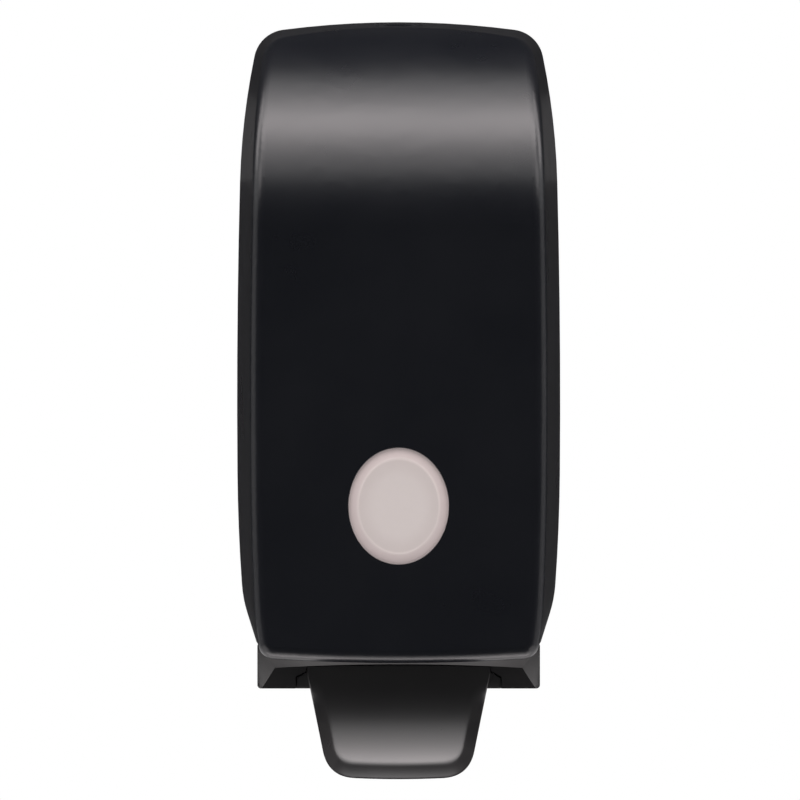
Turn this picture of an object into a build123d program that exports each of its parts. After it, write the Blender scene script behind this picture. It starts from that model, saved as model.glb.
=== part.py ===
from build123d import *
import os
from math import asin, cos, degrees, hypot, pi, radians, sin, sqrt

os.makedirs("parts", exist_ok=True)

# A lever soap dispenser for a wall, in millimetres. The wall is the plane Y = 0 and the front faces -Y.
# The origin is the middle of the four wall screws, and a depth is a distance from the wall.

# Cover: its two outlines, at the rim by the wall and past the front, and the profile of its crown
rim_depth = 1.5
front_depth = 114.0
outline_overrun = 6.0
widest_z = -18.0
rim_half_width = 58.2
front_half_width = 52.7
rim_top_z = 118.15
front_top_z = 112.3
arch_end_z = -110.0
arch_middle_z = -111.8
barrel_radius = 3000.0
barrel_turn_up = 1.5
barrel_turn_down = 0.5
shoulder_radius = 259.0
rim_shoulder_turn = 12.0
front_shoulder_turn = 10.5
rim_flank_radius = 640.0
rim_flank_turn = 3.6
front_flank_radius = 1300.0
front_flank_turn = 2.0
rim_bend_radius = 45.0
rim_bend_turn = 13.4
front_bend_radius = 200.0
front_bend_turn = 3.0
rim_top_corner = 12.0
front_top_corner = 8.0
bottom_corner = 6.0
crown_z = 45.0
crown_height = 76.0
crown_depth = 103.0
cover_wall = 2.5
cover_edge_radius = 4.5
cover_foot_z = -105.0
lip_depth = 106.0
margin = 10.0

# Window in the cover
window_z = -55.8
window_half_width = 18.1
window_half_height = 21.0
lens_gap = 0.2
lens_rim = 3.7
lens_rim_drop = 0.9
lens_face_depth = front_depth - 0.1
lens_flange = 2.4
lens_flange_front = front_depth - cover_wall
lens_flange_rear = lens_flange_front - 1.7
retainer_rear = lens_flange_rear - 2.0
retainer_width = 4.0
stake_angle = 45.0
stake_radius = 1.1
stake_head_radius = 1.9
stake_head_height = 1.1

# Cover hinge and key lock
hinge_depth = 108.5
hinge_z = -106.0
hinge_pin_radius = 1.2
hinge_pin_inner = 35.0
hinge_pin_outer = 46.0
lug_inner = 34.5
lug_outer = 40.5
lug_radius = 2.4
lug_rear = 90.0
lug_arm_drop = 0.4
notch_inner = 34.0
notch_front = 110.0
knuckle_inner = 41.0
knuckle_outer = 49.2
knuckle_radius = 2.9
running_gap = 0.05
lock_depth = 32.0
lock_top_z = 115.3
lock_boss_radius = 11.0
lock_boss_z = 102.5
lock_sleeve_radius = 8.0
lock_collar_radius = 9.0
lock_collar_height = 1.6
lock_barrel_radius = 7.0
lock_shoulder_z = 99.5
lock_stud_radius = 3.0
lock_stud_z = 94.5
key_slot_length = 8.0
key_slot_width = 1.4
key_slot_depth = 5.0
cam_thickness = 2.0
cam_reach = 21.0
cam_half_width = 5.0
cam_hub_radius = 6.0
cam_nut_across = 9.0
cam_nut_z = 95.2
keeper_z = 100.0
keeper_sheet = 2.0
keeper_reach = 21.0
keeper_half_width = 13.0
keeper_foot_z = 86.0

# Back plate, wall screws and small screws
plate_thickness = 4.0
plate_half_width = 43.0
plate_top_z = 108.0
plate_corner = 6.0
rib_depth = 9.0
rib_thickness = 2.0
grid_rib_x = 18.0
grid_rib_z = 40.0
grid_rib_depth = 3.0
wall_screw_x = 30.0
wall_screw_z = 65.0
wall_screw_radius = 2.6
wall_pad_radius = 7.0
wall_pad_depth = 1.5
screw_radius = 1.5
screw_gap = 0.05
screw_head_radius = 3.0
screw_head_height = 2.2
screw_bite = 3.0
shelf_screw_x = 30.0
shelf_screw_z = -80.0
keeper_screw_x = 8.0
keeper_screw_z = 92.0
base_screw_z = -113.5
base_screw_places = [(x, base_screw_z) for x in (-44, -20, 20, 44)]
screw_boss_radius = 3.4
screw_boss_depth = 10.0

# Base housing
base_half_width = 50.45
base_top_z = -105.6
base_bottom_z = -121.0
base_corner = 1.3
base_wall = 2.5
frame_top_depth = 101.9
frame_bottom_depth = 98.9
frame_land = 0.25
panel_depth = 97.5
panel_top_half = 44.2
panel_bottom_half = 48.9
panel_overrun = 2.0
panel_corner_z = -113.6
panel_arch_z = -112.3
deck_opening_half = 20.0
deck_opening_rear = 32.0
deck_opening_front = 74.0
cheek_inner = 37.5
cheek_outer = 43.0
cheek_rear = 79.5
cheek_foot_z = -120.8
stop_inner = 33.2
stop_length = 5.0
stop_top_z = -117.4

# Lever and its shaft
shaft_depth = 90.5
shaft_z = -114.0
shaft_radius = 2.0
shaft_half_length = 44.6
clip_inner = 43.1
clip_thickness = 0.8
clip_bore = 1.6
clip_radius = 3.4
slip_gap = 0.3
lever_top_z = -112.8
lever_shoulder_z = -113.3
lever_bottom_z = -153.25
lever_foot_z = -152.3
scoop_radius = 47.0
scoop_overrun = 5.0
lever_sheet = 3.0
lever_top_half = 32.65
lever_knee_z = -116.0
lever_bottom_half = 25.2
lever_corner = 10.5
lever_bevel_across = 5.6
lever_bevel_deep = 2.0
lever_boss_radius = 4.0
lever_boss_half = 36.8
wing_half = 36.5
wing_top_z = -115.0
wing_knee_z = -117.2
wing_depth = 94.0
stop_tab_inner = 33.6
stop_tab_thickness = 2.0
arm_inner = 11.5
arm_outer = 16.5
arm_radius = 2.3
arm_elbow_depth = 76.5

# Cassette and pump
pump_depth = 52.0
shelf_z = -84.0
shelf_thickness = 2.5
shelf_half_width = 40.0
shelf_front = 88.0
shelf_wall = 2.5
shelf_wall_front = 60.0
shelf_flange_top_z = -74.0
shelf_slot_half = 14.2
shelf_fence_z = -76.0
shelf_fence = 1.6
shelf_gusset_z = -96.0
bottle_half_width = 38.0
bottle_rear = 12.0
bottle_front = 91.0
bottle_top_z = 90.0
bottle_corner = 14.0
bottle_top_radius = 13.0
bottle_foot_radius = 3.0
bottle_wall = 1.4
neck_radius = 13.5
neck_bore = 12.0
neck_end_z = -91.5
cap_radius = 17.0
cap_bore = 13.6
cap_top_z = -87.0
cap_floor_z = -96.0
cap_floor_thickness = 2.0
cap_hole = 7.5
gasket_thickness = 1.0
cylinder_bore = 9.0
cylinder_radius = 10.5
cylinder_flange_radius = 13.3
cylinder_top_z = -55.0
cylinder_end_thickness = 2.0
inlet_hole_radius = 1.4
inlet_hole_circle = 4.6
valve_stem_radius = 1.2
valve_disc_radius = 7.0
valve_disc_thickness = 1.2
valve_bulb_radius = 1.9
valve_bulb_height = 2.0
guide_top_z = -90.0
stem_radius = 4.0
stem_bore = 2.0
stem_head_radius = 6.0
stem_top_z = -70.0
seal_top_z = -72.0
seal_bottom_z = -78.0
seal_lip = 1.0
seal_waist = 1.5
stem_collar_height = 1.5
flange_top_z = -113.7
flange_bottom_z = -116.0
flange_radius = 15.0
nozzle_collar_radius = 8.0
nozzle_collar_z = -118.0
nozzle_radius = 5.5
nozzle_tip_radius = 4.2
nozzle_tip_z = -127.0
nozzle_step_z = -119.5
nozzle_bore = 3.2
bill_radius = 2.4
bill_top_z = -121.0
bill_tip_z = -126.0
bill_half_width = 2.1
bill_half_thickness = 0.4
spring_wire = 1.0
spring_coil_radius = 10.5
spring_turns = 4.5
spring_arcs_per_turn = 4
spring_gap_steps = 24


def facing(depth):
    """A plane facing the user at this depth, drawn in width and height."""
    return Plane((0, -depth, 0), x_dir=(1, 0, 0), z_dir=(0, -1, 0))


def side(x):
    """An upright plane across the object at this width, drawn in depth and height, facing left."""
    return Plane((x, 0, 0), x_dir=(0, -1, 0), z_dir=(-1, 0, 0))


def level(z):
    """A level plane seen from below, drawn in width and depth."""
    return Plane((0, 0, z), x_dir=(1, 0, 0), z_dir=(0, 0, -1))


def above(depth, z):
    """A level plane seen from above, centred on the upright axis at this depth."""
    return Plane((0, -depth, z), x_dir=(1, 0, 0), z_dir=(0, 0, 1))


def upright_axis(depth):
    """The upright line in the middle of the object at this depth."""
    return Axis((0, -depth, 0), (0, 0, 1))


def cover_outline(half_width, top_z, shoulder_turn, flank, bend, top_corner, inset):
    """The barrel-sided outline of the cover. Flank and bend are the arcs of its lower sides."""
    with BuildSketch() as outline:
        with BuildLine():
            up = JernArc((half_width, widest_z), (0, 1), barrel_radius, barrel_turn_up)
            shoulder = JernArc(up @ 1, up % 1, shoulder_radius, shoulder_turn)
            down = JernArc((half_width, widest_z), (0, -1), barrel_radius, -barrel_turn_down)
            flank_radius, flank_turn = flank
            lower = JernArc(down @ 1, down % 1, flank_radius, -flank_turn)
            bend_radius, bend_turn = bend
            curl = JernArc(lower @ 1, lower % 1, bend_radius, -bend_turn)
            foot_drop = (curl @ 1).Y - arch_end_z
            foot = PolarLine(curl @ 1, foot_drop, direction=curl % 1, length_mode=LengthMode.VERTICAL)
            mirror(about=Plane.YZ)
            crown = shoulder @ 1
            heel = foot @ 1
            ThreePointArc((-crown.X, crown.Y), (0, top_z), crown)
            ThreePointArc((-heel.X, heel.Y), (0, arch_middle_z), heel)
        make_face()
        fillet(outline.vertices().sort_by(Axis.Y)[-2:], top_corner)
        fillet(outline.vertices().sort_by(Axis.Y)[:2], bottom_corner)
        if inset:
            offset(amount=-inset)
    return outline.sketch


def cover_envelope(inset):
    """The cover as a solid block, smaller all round by the inset, with its front edge rounded."""
    width = 2 * (rim_half_width + margin)
    rim_outline = cover_outline(
        rim_half_width,
        rim_top_z,
        rim_shoulder_turn,
        (rim_flank_radius, rim_flank_turn),
        (rim_bend_radius, rim_bend_turn),
        rim_top_corner,
        inset,
    )
    front_outline = cover_outline(
        front_half_width,
        front_top_z,
        front_shoulder_turn,
        (front_flank_radius, front_flank_turn),
        (front_bend_radius, front_bend_turn),
        front_top_corner,
        inset,
    )
    with BuildPart() as block:
        with BuildSketch(facing(rim_depth - inset)):
            add(rim_outline)
        with BuildSketch(facing(front_depth + outline_overrun)):
            add(front_outline)
        loft(ruled=True)
        with BuildSketch(side(width / 2)):
            with BuildLine():
                arc = EllipticalCenterArc(
                    (front_depth - crown_depth, crown_z),
                    crown_depth - inset,
                    crown_height - inset,
                    start_angle=0,
                    arc_size=90,
                )
                Polyline(
                    arc @ 1,
                    (-margin, crown_z + crown_height - inset),
                    (-margin, arch_middle_z - margin),
                    (front_depth - inset, arch_middle_z - margin),
                    arc @ 0,
                )
            make_face()
        extrude(amount=width, mode=Mode.INTERSECT)
        front_face = block.faces().sort_by(Axis.Y)[0]
        crown_face = block.faces().filter_by(GeomType.EXTRUSION)[0]
        shared = front_face.edges() & crown_face.edges()
        fillet((front_face.edges() + crown_face.edges()) - shared, cover_edge_radius - inset)
    return block.part


def bottle_block(inset):
    """The cassette's bottle as a solid block, smaller all round by the inset."""
    with BuildPart() as block:
        with BuildSketch(above((bottle_rear + bottle_front) / 2, shelf_z + inset)):
            RectangleRounded(
                2 * (bottle_half_width - inset),
                bottle_front - bottle_rear - 2 * inset,
                bottle_corner - inset,
            )
        extrude(amount=bottle_top_z - shelf_z - 2 * inset)
        fillet(block.faces().sort_by(Axis.Z)[-1].edges(), bottle_top_radius - inset)
        fillet(block.faces().sort_by(Axis.Z)[0].edges(), bottle_foot_radius - inset)
    return block.part


def turn(depth, *profile):
    """Turns a section, given as radius and height, round the upright axis at this depth."""
    with BuildSketch(facing(depth)) as section:
        with BuildLine():
            Polyline(*profile, close=True)
        make_face()
    revolve(section.sketch, axis=upright_axis(depth))


def biarc(start, start_way, end, end_way):
    """Two arcs from one point to the next, tangent to the way the wire runs at both."""
    span = end - start
    a = 2 * (1 - start_way.dot(end_way))
    b = 2 * span.dot(start_way + end_way)
    reach = (sqrt(b * b + 4 * a * span.dot(span)) - b) / (2 * a)
    joint = (start + end + (start_way - end_way) * reach) / 2
    first = TangentArc(start, joint, tangent=start_way)
    TangentArc(joint, end, tangent=first % 1)


# Back plate: a moulded plate with a rib round its edge, low ribs inside, and pads for the wall screws
with BuildPart() as back_plate:
    with BuildSketch(facing(0)) as plate_outline:
        with Locations((0, base_bottom_z)):
            Rectangle(2 * plate_half_width, plate_top_z - base_bottom_z, align=(Align.CENTER, Align.MIN))
        fillet(plate_outline.vertices().sort_by(Axis.Y)[-2:], plate_corner)
        with Locations((0, base_bottom_z)):
            Rectangle(2 * base_half_width, base_top_z - base_bottom_z, align=(Align.CENTER, Align.MIN))
    extrude(amount=plate_thickness)
    with BuildSketch(facing(plate_thickness)) as edge_rib:
        with Locations((0, base_top_z)):
            Rectangle(2 * plate_half_width, plate_top_z - base_top_z, align=(Align.CENTER, Align.MIN))
        fillet(edge_rib.vertices().sort_by(Axis.Y)[-2:], plate_corner)
        with Locations((0, base_top_z)):
            Rectangle(
                2 * (plate_half_width - rib_thickness),
                plate_top_z - rib_thickness - base_top_z,
                align=(Align.CENTER, Align.MIN),
                mode=Mode.SUBTRACT,
            )
    extrude(amount=rib_depth - plate_thickness)
    with BuildSketch(facing(plate_thickness)):
        with GridLocations(2 * grid_rib_x, 0, 2, 1):
            Rectangle(rib_thickness, 2 * grid_rib_z)
        with GridLocations(0, grid_rib_z, 1, 3):
            Rectangle(2 * plate_half_width - rib_thickness, rib_thickness)
    extrude(amount=grid_rib_depth)
    with BuildSketch(facing(plate_thickness)):
        with GridLocations(2 * wall_screw_x, 2 * wall_screw_z, 2, 2):
            Circle(wall_pad_radius)
    extrude(amount=wall_pad_depth)
    with BuildSketch(facing(0)):
        with GridLocations(2 * wall_screw_x, 2 * wall_screw_z, 2, 2):
            Circle(wall_screw_radius)
        with Locations(*base_screw_places):
            Circle(screw_radius + screw_gap)
    extrude(amount=plate_thickness + wall_pad_depth, mode=Mode.SUBTRACT)
    with BuildSketch(facing(0)):
        with Locations(*base_screw_places):
            Circle(screw_head_radius + screw_gap)
    extrude(amount=screw_head_height, mode=Mode.SUBTRACT)
    with BuildSketch(facing(plate_thickness)):
        with Locations((-shelf_screw_x, shelf_screw_z), (shelf_screw_x, shelf_screw_z)):
            Circle(screw_radius + screw_gap)
        with Locations((-keeper_screw_x, keeper_screw_z), (keeper_screw_x, keeper_screw_z)):
            Circle(screw_radius + screw_gap)
    extrude(amount=-screw_bite, mode=Mode.SUBTRACT)
back_plate.part.label = "back_plate"
export_step(back_plate.part, "parts/back_plate.step")

# Base housing: a skirt open below, its panel set back in a frame of facets and its deck pierced for the pump
frame_rise = base_top_z - base_bottom_z
frame_run = frame_top_depth - frame_bottom_depth
frame_face = Plane(
    (0, -frame_top_depth, base_top_z), x_dir=(1, 0, 0), z_dir=(0, -frame_rise, -frame_run)
)
panel_slant = (panel_bottom_half - panel_top_half) / (panel_corner_z - base_bottom_z)
panel_foot = (panel_bottom_half + panel_slant * panel_overrun, base_bottom_z - panel_overrun)
with BuildPart() as base_housing:
    with BuildSketch(side(base_half_width)):
        with BuildLine():
            Polyline(
                (plate_thickness, base_top_z),
                (frame_top_depth, base_top_z),
                (frame_bottom_depth, base_bottom_z),
                (plate_thickness, base_bottom_z),
                close=True,
            )
        make_face()
    extrude(amount=2 * base_half_width)
    with BuildSketch(facing(panel_depth)):
        with BuildLine():
            ThreePointArc(
                (-panel_top_half, panel_corner_z),
                (0, panel_arch_z),
                (panel_top_half, panel_corner_z),
            )
            Polyline(
                (panel_top_half, panel_corner_z),
                panel_foot,
                (-panel_foot[0], panel_foot[1]),
                (-panel_top_half, panel_corner_z),
            )
        make_face()
    with BuildSketch(frame_face):
        with Locations((0, -frame_land)):
            Rectangle(
                2 * (base_half_width - frame_land),
                hypot(frame_rise, frame_run) + panel_overrun,
                align=(Align.CENTER, Align.MAX),
            )
    loft(ruled=True, mode=Mode.SUBTRACT)
    with BuildSketch(facing(0)) as rounded_outline:
        with Locations((0, base_bottom_z)):
            Rectangle(2 * base_half_width, base_top_z - base_bottom_z, align=(Align.CENTER, Align.MIN))
        fillet(rounded_outline.vertices().sort_by(Axis.Y)[:2], base_corner)
    extrude(amount=frame_top_depth, mode=Mode.INTERSECT)
    with BuildSketch(level(base_top_z - base_wall)):
        with Locations((0, plate_thickness + base_wall)):
            Rectangle(
                2 * (base_half_width - base_wall),
                panel_depth - plate_thickness - 2 * base_wall,
                align=(Align.CENTER, Align.MIN),
            )
    extrude(amount=base_top_z - base_bottom_z, mode=Mode.SUBTRACT)
    # Cheeks that carry the shaft, each with a ledge that stops the lever, and bosses for the base screws
    for right in (cheek_outer, -cheek_inner):
        with BuildSketch(side(right)):
            with Locations((cheek_rear, cheek_foot_z)):
                Rectangle(
                    panel_depth - base_wall - cheek_rear,
                    base_top_z - base_wall - cheek_foot_z,
                    align=(Align.MIN, Align.MIN),
                )
        extrude(amount=cheek_outer - cheek_inner)
    for right in (cheek_outer, -stop_inner):
        with BuildSketch(side(right)):
            with Locations((cheek_rear, cheek_foot_z)):
                Rectangle(stop_length, stop_top_z - cheek_foot_z, align=(Align.MIN, Align.MIN))
        extrude(amount=cheek_outer - stop_inner)
    with BuildSketch(facing(plate_thickness)):
        with Locations(*base_screw_places):
            Circle(screw_boss_radius)
    extrude(amount=screw_boss_depth)
    with BuildSketch(facing(plate_thickness)):
        with Locations(*base_screw_places):
            Circle(screw_radius + screw_gap)
    extrude(amount=screw_boss_depth - base_wall, mode=Mode.SUBTRACT)
    # Opening in the deck for the pump, and the lever's place in the front panel
    with BuildSketch(level(base_top_z)):
        with Locations((0, deck_opening_rear)):
            Rectangle(
                2 * deck_opening_half,
                deck_opening_front - deck_opening_rear,
                align=(Align.CENTER, Align.MIN),
            )
    extrude(amount=base_wall, mode=Mode.SUBTRACT)
    with BuildSketch(facing(panel_depth - base_wall)):
        with BuildLine():
            Polyline(
                (lever_top_half + slip_gap, lever_shoulder_z + slip_gap),
                (lever_top_half + slip_gap, wing_top_z + slip_gap),
                (wing_half + slip_gap, wing_knee_z + slip_gap),
                (wing_half + slip_gap, base_bottom_z),
                (0, base_bottom_z),
            )
            mirror(about=Plane.YZ)
            ThreePointArc(
                (-lever_top_half - slip_gap, lever_shoulder_z + slip_gap),
                (0, lever_top_z + slip_gap),
                (lever_top_half + slip_gap, lever_shoulder_z + slip_gap),
            )
        make_face()
    extrude(amount=frame_top_depth - panel_depth + base_wall, mode=Mode.SUBTRACT)
    # Lugs for the cover hinge, on arms that reach forward from the deck into the cover's lip
    for right in (lug_outer, -lug_inner):
        with BuildSketch(side(right)):
            with Locations((hinge_depth, hinge_z)):
                Circle(lug_radius)
            with Locations((lug_rear, hinge_z - lug_arm_drop)):
                Rectangle(hinge_depth - lug_rear, lug_radius + lug_arm_drop, align=(Align.MIN, Align.MIN))
        extrude(amount=lug_outer - lug_inner)
    with BuildSketch(side(lug_outer)):
        with Locations((hinge_depth, hinge_z)):
            Circle(hinge_pin_radius)
    extrude(amount=2 * lug_outer, mode=Mode.SUBTRACT)
    with BuildSketch(side(cheek_outer)):
        with Locations((shaft_depth, shaft_z)):
            Circle(shaft_radius)
    extrude(amount=2 * cheek_outer, mode=Mode.SUBTRACT)
base_housing.part.label = "base_housing"
export_step(base_housing.part, "parts/base_housing.step")

# Screws that hold the base on the back plate, driven from behind
with BuildPart() as base_screws:
    with BuildSketch(facing(0)):
        with Locations(*base_screw_places):
            Circle(screw_head_radius)
    extrude(amount=screw_head_height)
    with BuildSketch(facing(screw_head_height)):
        with Locations(*base_screw_places):
            Circle(screw_radius)
    extrude(amount=screw_boss_depth - base_wall)
base_screws.part.label = "base_screws"
export_step(base_screws.part, "parts/base_screws.step")

# Pins of the cover hinge, held in the lugs of the base
with BuildPart() as cover_hinge_pins:
    for right in (hinge_pin_outer, -hinge_pin_inner):
        with BuildSketch(side(right)):
            with Locations((hinge_depth, hinge_z)):
                Circle(hinge_pin_radius)
        extrude(amount=hinge_pin_outer - hinge_pin_inner)
cover_hinge_pins.part.label = "cover_hinge_pins"
export_step(cover_hinge_pins.part, "parts/cover_hinge_pins.step")

# Shaft of the lever, grooved near its ends for the clips
with BuildPart() as lever_shaft:
    with BuildSketch(side(shaft_half_length)):
        with Locations((shaft_depth, shaft_z)):
            Circle(shaft_radius)
    extrude(amount=2 * shaft_half_length)
    for right in (clip_inner + clip_thickness, -clip_inner):
        with BuildSketch(side(right)):
            with Locations((shaft_depth, shaft_z)):
                Circle(shaft_radius)
                Circle(clip_bore, mode=Mode.SUBTRACT)
        extrude(amount=clip_thickness, mode=Mode.SUBTRACT)
lever_shaft.part.label = "lever_shaft"
export_step(lever_shaft.part, "parts/lever_shaft.step")

# Spring clips in the shaft's grooves, open on one side so that they snap on
with BuildPart() as shaft_clips:
    for right in (clip_inner + clip_thickness, -clip_inner):
        with BuildSketch(side(right)):
            with Locations((shaft_depth, shaft_z)):
                Circle(clip_radius)
                Circle(clip_bore, mode=Mode.SUBTRACT)
                Rectangle(2 * clip_bore, clip_radius, align=(Align.CENTER, Align.MAX), mode=Mode.SUBTRACT)
        extrude(amount=clip_thickness)
shaft_clips.part.label = "shaft_clips"
export_step(shaft_clips.part, "parts/shaft_clips.step")

# Lever: a scooped sheet with a bevelled edge, hung on the shaft, with two arms that reach back to the pump
with BuildPart() as push_lever:
    scoop_turn = degrees(asin((base_bottom_z - lever_bottom_z) / scoop_radius)) + scoop_overrun
    with BuildSketch(side(lever_top_half + margin)):
        with BuildLine():
            face = Line((panel_depth, lever_top_z), (panel_depth, base_bottom_z))
            scoop = JernArc(face @ 1, (0, -1), scoop_radius, scoop_turn)
            back = Line((panel_depth - lever_sheet, lever_top_z), (panel_depth - lever_sheet, base_bottom_z))
            underside = JernArc(back @ 1, (0, -1), scoop_radius + lever_sheet, scoop_turn)
            Line(face @ 0, back @ 0)
            Line(scoop @ 1, underside @ 1)
        make_face()
    extrude(amount=2 * (lever_top_half + margin))
    with BuildSketch(facing(panel_depth - margin)) as blade_outline:
        with BuildLine():
            Polyline(
                (lever_top_half, lever_shoulder_z),
                (lever_top_half, lever_knee_z),
                (lever_bottom_half, lever_foot_z),
            )
            mirror(about=Plane.YZ)
            ThreePointArc(
                (-lever_top_half, lever_shoulder_z),
                (0, lever_top_z),
                (lever_top_half, lever_shoulder_z),
            )
            ThreePointArc(
                (-lever_bottom_half, lever_foot_z),
                (0, lever_bottom_z),
                (lever_bottom_half, lever_foot_z),
            )
        make_face()
        fillet(blade_outline.vertices().group_by(Axis.Y)[0], lever_corner)
    extrude(amount=panel_depth, mode=Mode.INTERSECT)
    scoop_face = push_lever.faces().filter_by(GeomType.CYLINDER).sort_by(SortBy.AREA)[-1]
    bevel_edges = scoop_face.edges().sort_by(Axis.Z)[:-1]
    chamfer(bevel_edges, lever_bevel_across, lever_bevel_deep, reference=scoop_face)
    # Wings beside the top of the blade, set back from its face
    with BuildSketch(facing(shaft_depth)):
        with BuildLine():
            Polyline(
                (0, wing_top_z),
                (lever_top_half, wing_top_z),
                (wing_half, wing_knee_z),
                (wing_half, base_bottom_z),
                (0, base_bottom_z),
            )
            mirror(about=Plane.YZ)
        make_face()
    extrude(amount=wing_depth - shaft_depth)
    with BuildSketch(facing(shaft_depth)):
        with Locations((0, lever_shoulder_z)):
            Rectangle(2 * lever_top_half, lever_shoulder_z - base_bottom_z, align=(Align.CENTER, Align.MAX))
    extrude(amount=panel_depth - lever_sheet - shaft_depth)
    # Boss on the shaft, tabs that meet the ledges of the base, and the two arms
    with BuildSketch(side(lever_boss_half)):
        with Locations((shaft_depth, shaft_z)):
            Circle(lever_boss_radius)
    extrude(amount=2 * lever_boss_half)
    for right in (wing_half, -stop_tab_inner):
        with BuildSketch(side(right)):
            with Locations((cheek_rear + stop_length / 2, stop_top_z + slip_gap)):
                Rectangle(
                    shaft_depth - cheek_rear - stop_length / 2,
                    stop_tab_thickness,
                    align=(Align.MIN, Align.MIN),
                )
        extrude(amount=wing_half - stop_tab_inner)
    arm_z = flange_bottom_z - slip_gap - arm_radius
    for right in (arm_outer, -arm_inner):
        with BuildSketch(side(right)):
            with Locations((shaft_depth, shaft_z)):
                Circle(lever_boss_radius)
            with Locations((arm_elbow_depth, arm_z)):
                Circle(arm_radius)
            make_hull()
        extrude(amount=arm_outer - arm_inner)
        with BuildSketch(side(right)):
            with Locations(((pump_depth + arm_elbow_depth) / 2, arm_z)):
                SlotCenterToCenter(arm_elbow_depth - pump_depth, 2 * arm_radius)
        extrude(amount=arm_outer - arm_inner)
    with BuildSketch(side(lever_boss_half)):
        with Locations((shaft_depth, shaft_z)):
            Circle(shaft_radius + running_gap)
    extrude(amount=2 * lever_boss_half, mode=Mode.SUBTRACT)
push_lever.part.label = "push_lever"
export_step(push_lever.part, "parts/push_lever.step")

# Cassette shelf: a slotted plate on two walls, screwed to the back plate, with fences beside the cassette
with BuildPart() as cassette_shelf:
    with BuildSketch(level(shelf_z)):
        with Locations((0, plate_thickness)):
            Rectangle(2 * shelf_half_width, shelf_front - plate_thickness, align=(Align.CENTER, Align.MIN))
        with Locations((0, pump_depth)):
            Circle(shelf_slot_half, mode=Mode.SUBTRACT)
            Rectangle(
                2 * shelf_slot_half,
                shelf_front - pump_depth,
                align=(Align.CENTER, Align.MIN),
                mode=Mode.SUBTRACT,
            )
    extrude(amount=shelf_thickness)
    for right in (shelf_half_width, shelf_wall - shelf_half_width):
        with BuildSketch(side(right)):
            with BuildLine():
                Polyline(
                    (plate_thickness, shelf_z - shelf_thickness),
                    (shelf_front, shelf_z - shelf_thickness),
                    (shelf_wall_front, shelf_gusset_z),
                    (shelf_wall_front, base_top_z),
                    (plate_thickness, base_top_z),
                    close=True,
                )
            make_face()
        extrude(amount=shelf_wall)
    for right in (shelf_half_width, shelf_fence - shelf_half_width):
        with BuildSketch(side(right)):
            with Locations((plate_thickness, shelf_z - shelf_thickness)):
                Rectangle(
                    shelf_front - plate_thickness,
                    shelf_fence_z - shelf_z + shelf_thickness,
                    align=(Align.MIN, Align.MIN),
                )
        extrude(amount=shelf_fence)
    with BuildSketch(facing(plate_thickness)):
        with Locations((0, base_top_z)):
            Rectangle(2 * shelf_half_width, shelf_flange_top_z - base_top_z, align=(Align.CENTER, Align.MIN))
    extrude(amount=shelf_wall)
    with BuildSketch(facing(plate_thickness)):
        with Locations((-shelf_screw_x, shelf_screw_z), (shelf_screw_x, shelf_screw_z)):
            Circle(screw_radius + screw_gap)
    extrude(amount=shelf_wall, mode=Mode.SUBTRACT)
cassette_shelf.part.label = "cassette_shelf"
export_step(cassette_shelf.part, "parts/cassette_shelf.step")

# Lock keeper: a bent strip on the back plate, under which the lock's cam turns
with BuildPart() as lock_keeper:
    with BuildSketch(side(keeper_half_width)):
        with BuildLine():
            Polyline(
                (plate_thickness, keeper_foot_z),
                (plate_thickness, keeper_z + keeper_sheet),
                (keeper_reach, keeper_z + keeper_sheet),
                (keeper_reach, keeper_z),
                (plate_thickness + keeper_sheet, keeper_z),
                (plate_thickness + keeper_sheet, keeper_foot_z),
                close=True,
            )
        make_face()
    extrude(amount=2 * keeper_half_width)
    with BuildSketch(facing(plate_thickness)):
        with Locations((-keeper_screw_x, keeper_screw_z), (keeper_screw_x, keeper_screw_z)):
            Circle(screw_radius + screw_gap)
    extrude(amount=keeper_sheet, mode=Mode.SUBTRACT)
lock_keeper.part.label = "lock_keeper"
export_step(lock_keeper.part, "parts/lock_keeper.step")

# Screws that hold the shelf and the keeper on the back plate
with BuildPart() as plate_screws:
    shelf_screw = (shelf_screw_x, shelf_screw_z, shelf_wall)
    keeper_screw = (keeper_screw_x, keeper_screw_z, keeper_sheet)
    for x, z, seat in (shelf_screw, keeper_screw):
        with BuildSketch(facing(plate_thickness + seat)):
            with Locations((-x, z), (x, z)):
                Circle(screw_head_radius)
        extrude(amount=screw_head_height)
        with BuildSketch(facing(plate_thickness + seat)):
            with Locations((-x, z), (x, z)):
                Circle(screw_radius)
        extrude(amount=-seat - screw_bite)
plate_screws.part.label = "plate_screws"
export_step(plate_screws.part, "parts/plate_screws.step")

# Cassette: a blow-moulded bottle, neck down on the shelf
bottle_outside = bottle_block(0)
bottle_inside = bottle_block(bottle_wall)
with BuildPart() as cassette_bottle:
    add(bottle_outside)
    add(bottle_inside, mode=Mode.SUBTRACT)
    with BuildSketch(above(pump_depth, neck_end_z)):
        Circle(neck_radius)
    extrude(amount=shelf_z - neck_end_z + bottle_wall)
    with BuildSketch(above(pump_depth, neck_end_z)):
        Circle(neck_bore)
    extrude(amount=shelf_z - neck_end_z + bottle_wall, mode=Mode.SUBTRACT)
cassette_bottle.part.label = "cassette_bottle"
export_step(cassette_bottle.part, "parts/cassette_bottle.step")

# Cap on the neck, which clamps the pump
cap_seat_z = cap_floor_z + cap_floor_thickness
with BuildPart() as cassette_cap:
    turn(
        pump_depth,
        (cap_hole, cap_floor_z),
        (cap_radius, cap_floor_z),
        (cap_radius, cap_top_z),
        (cap_bore, cap_top_z),
        (cap_bore, cap_seat_z),
        (cap_hole, cap_seat_z),
    )
cassette_cap.part.label = "cassette_cap"
export_step(cassette_cap.part, "parts/cassette_cap.step")

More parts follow.
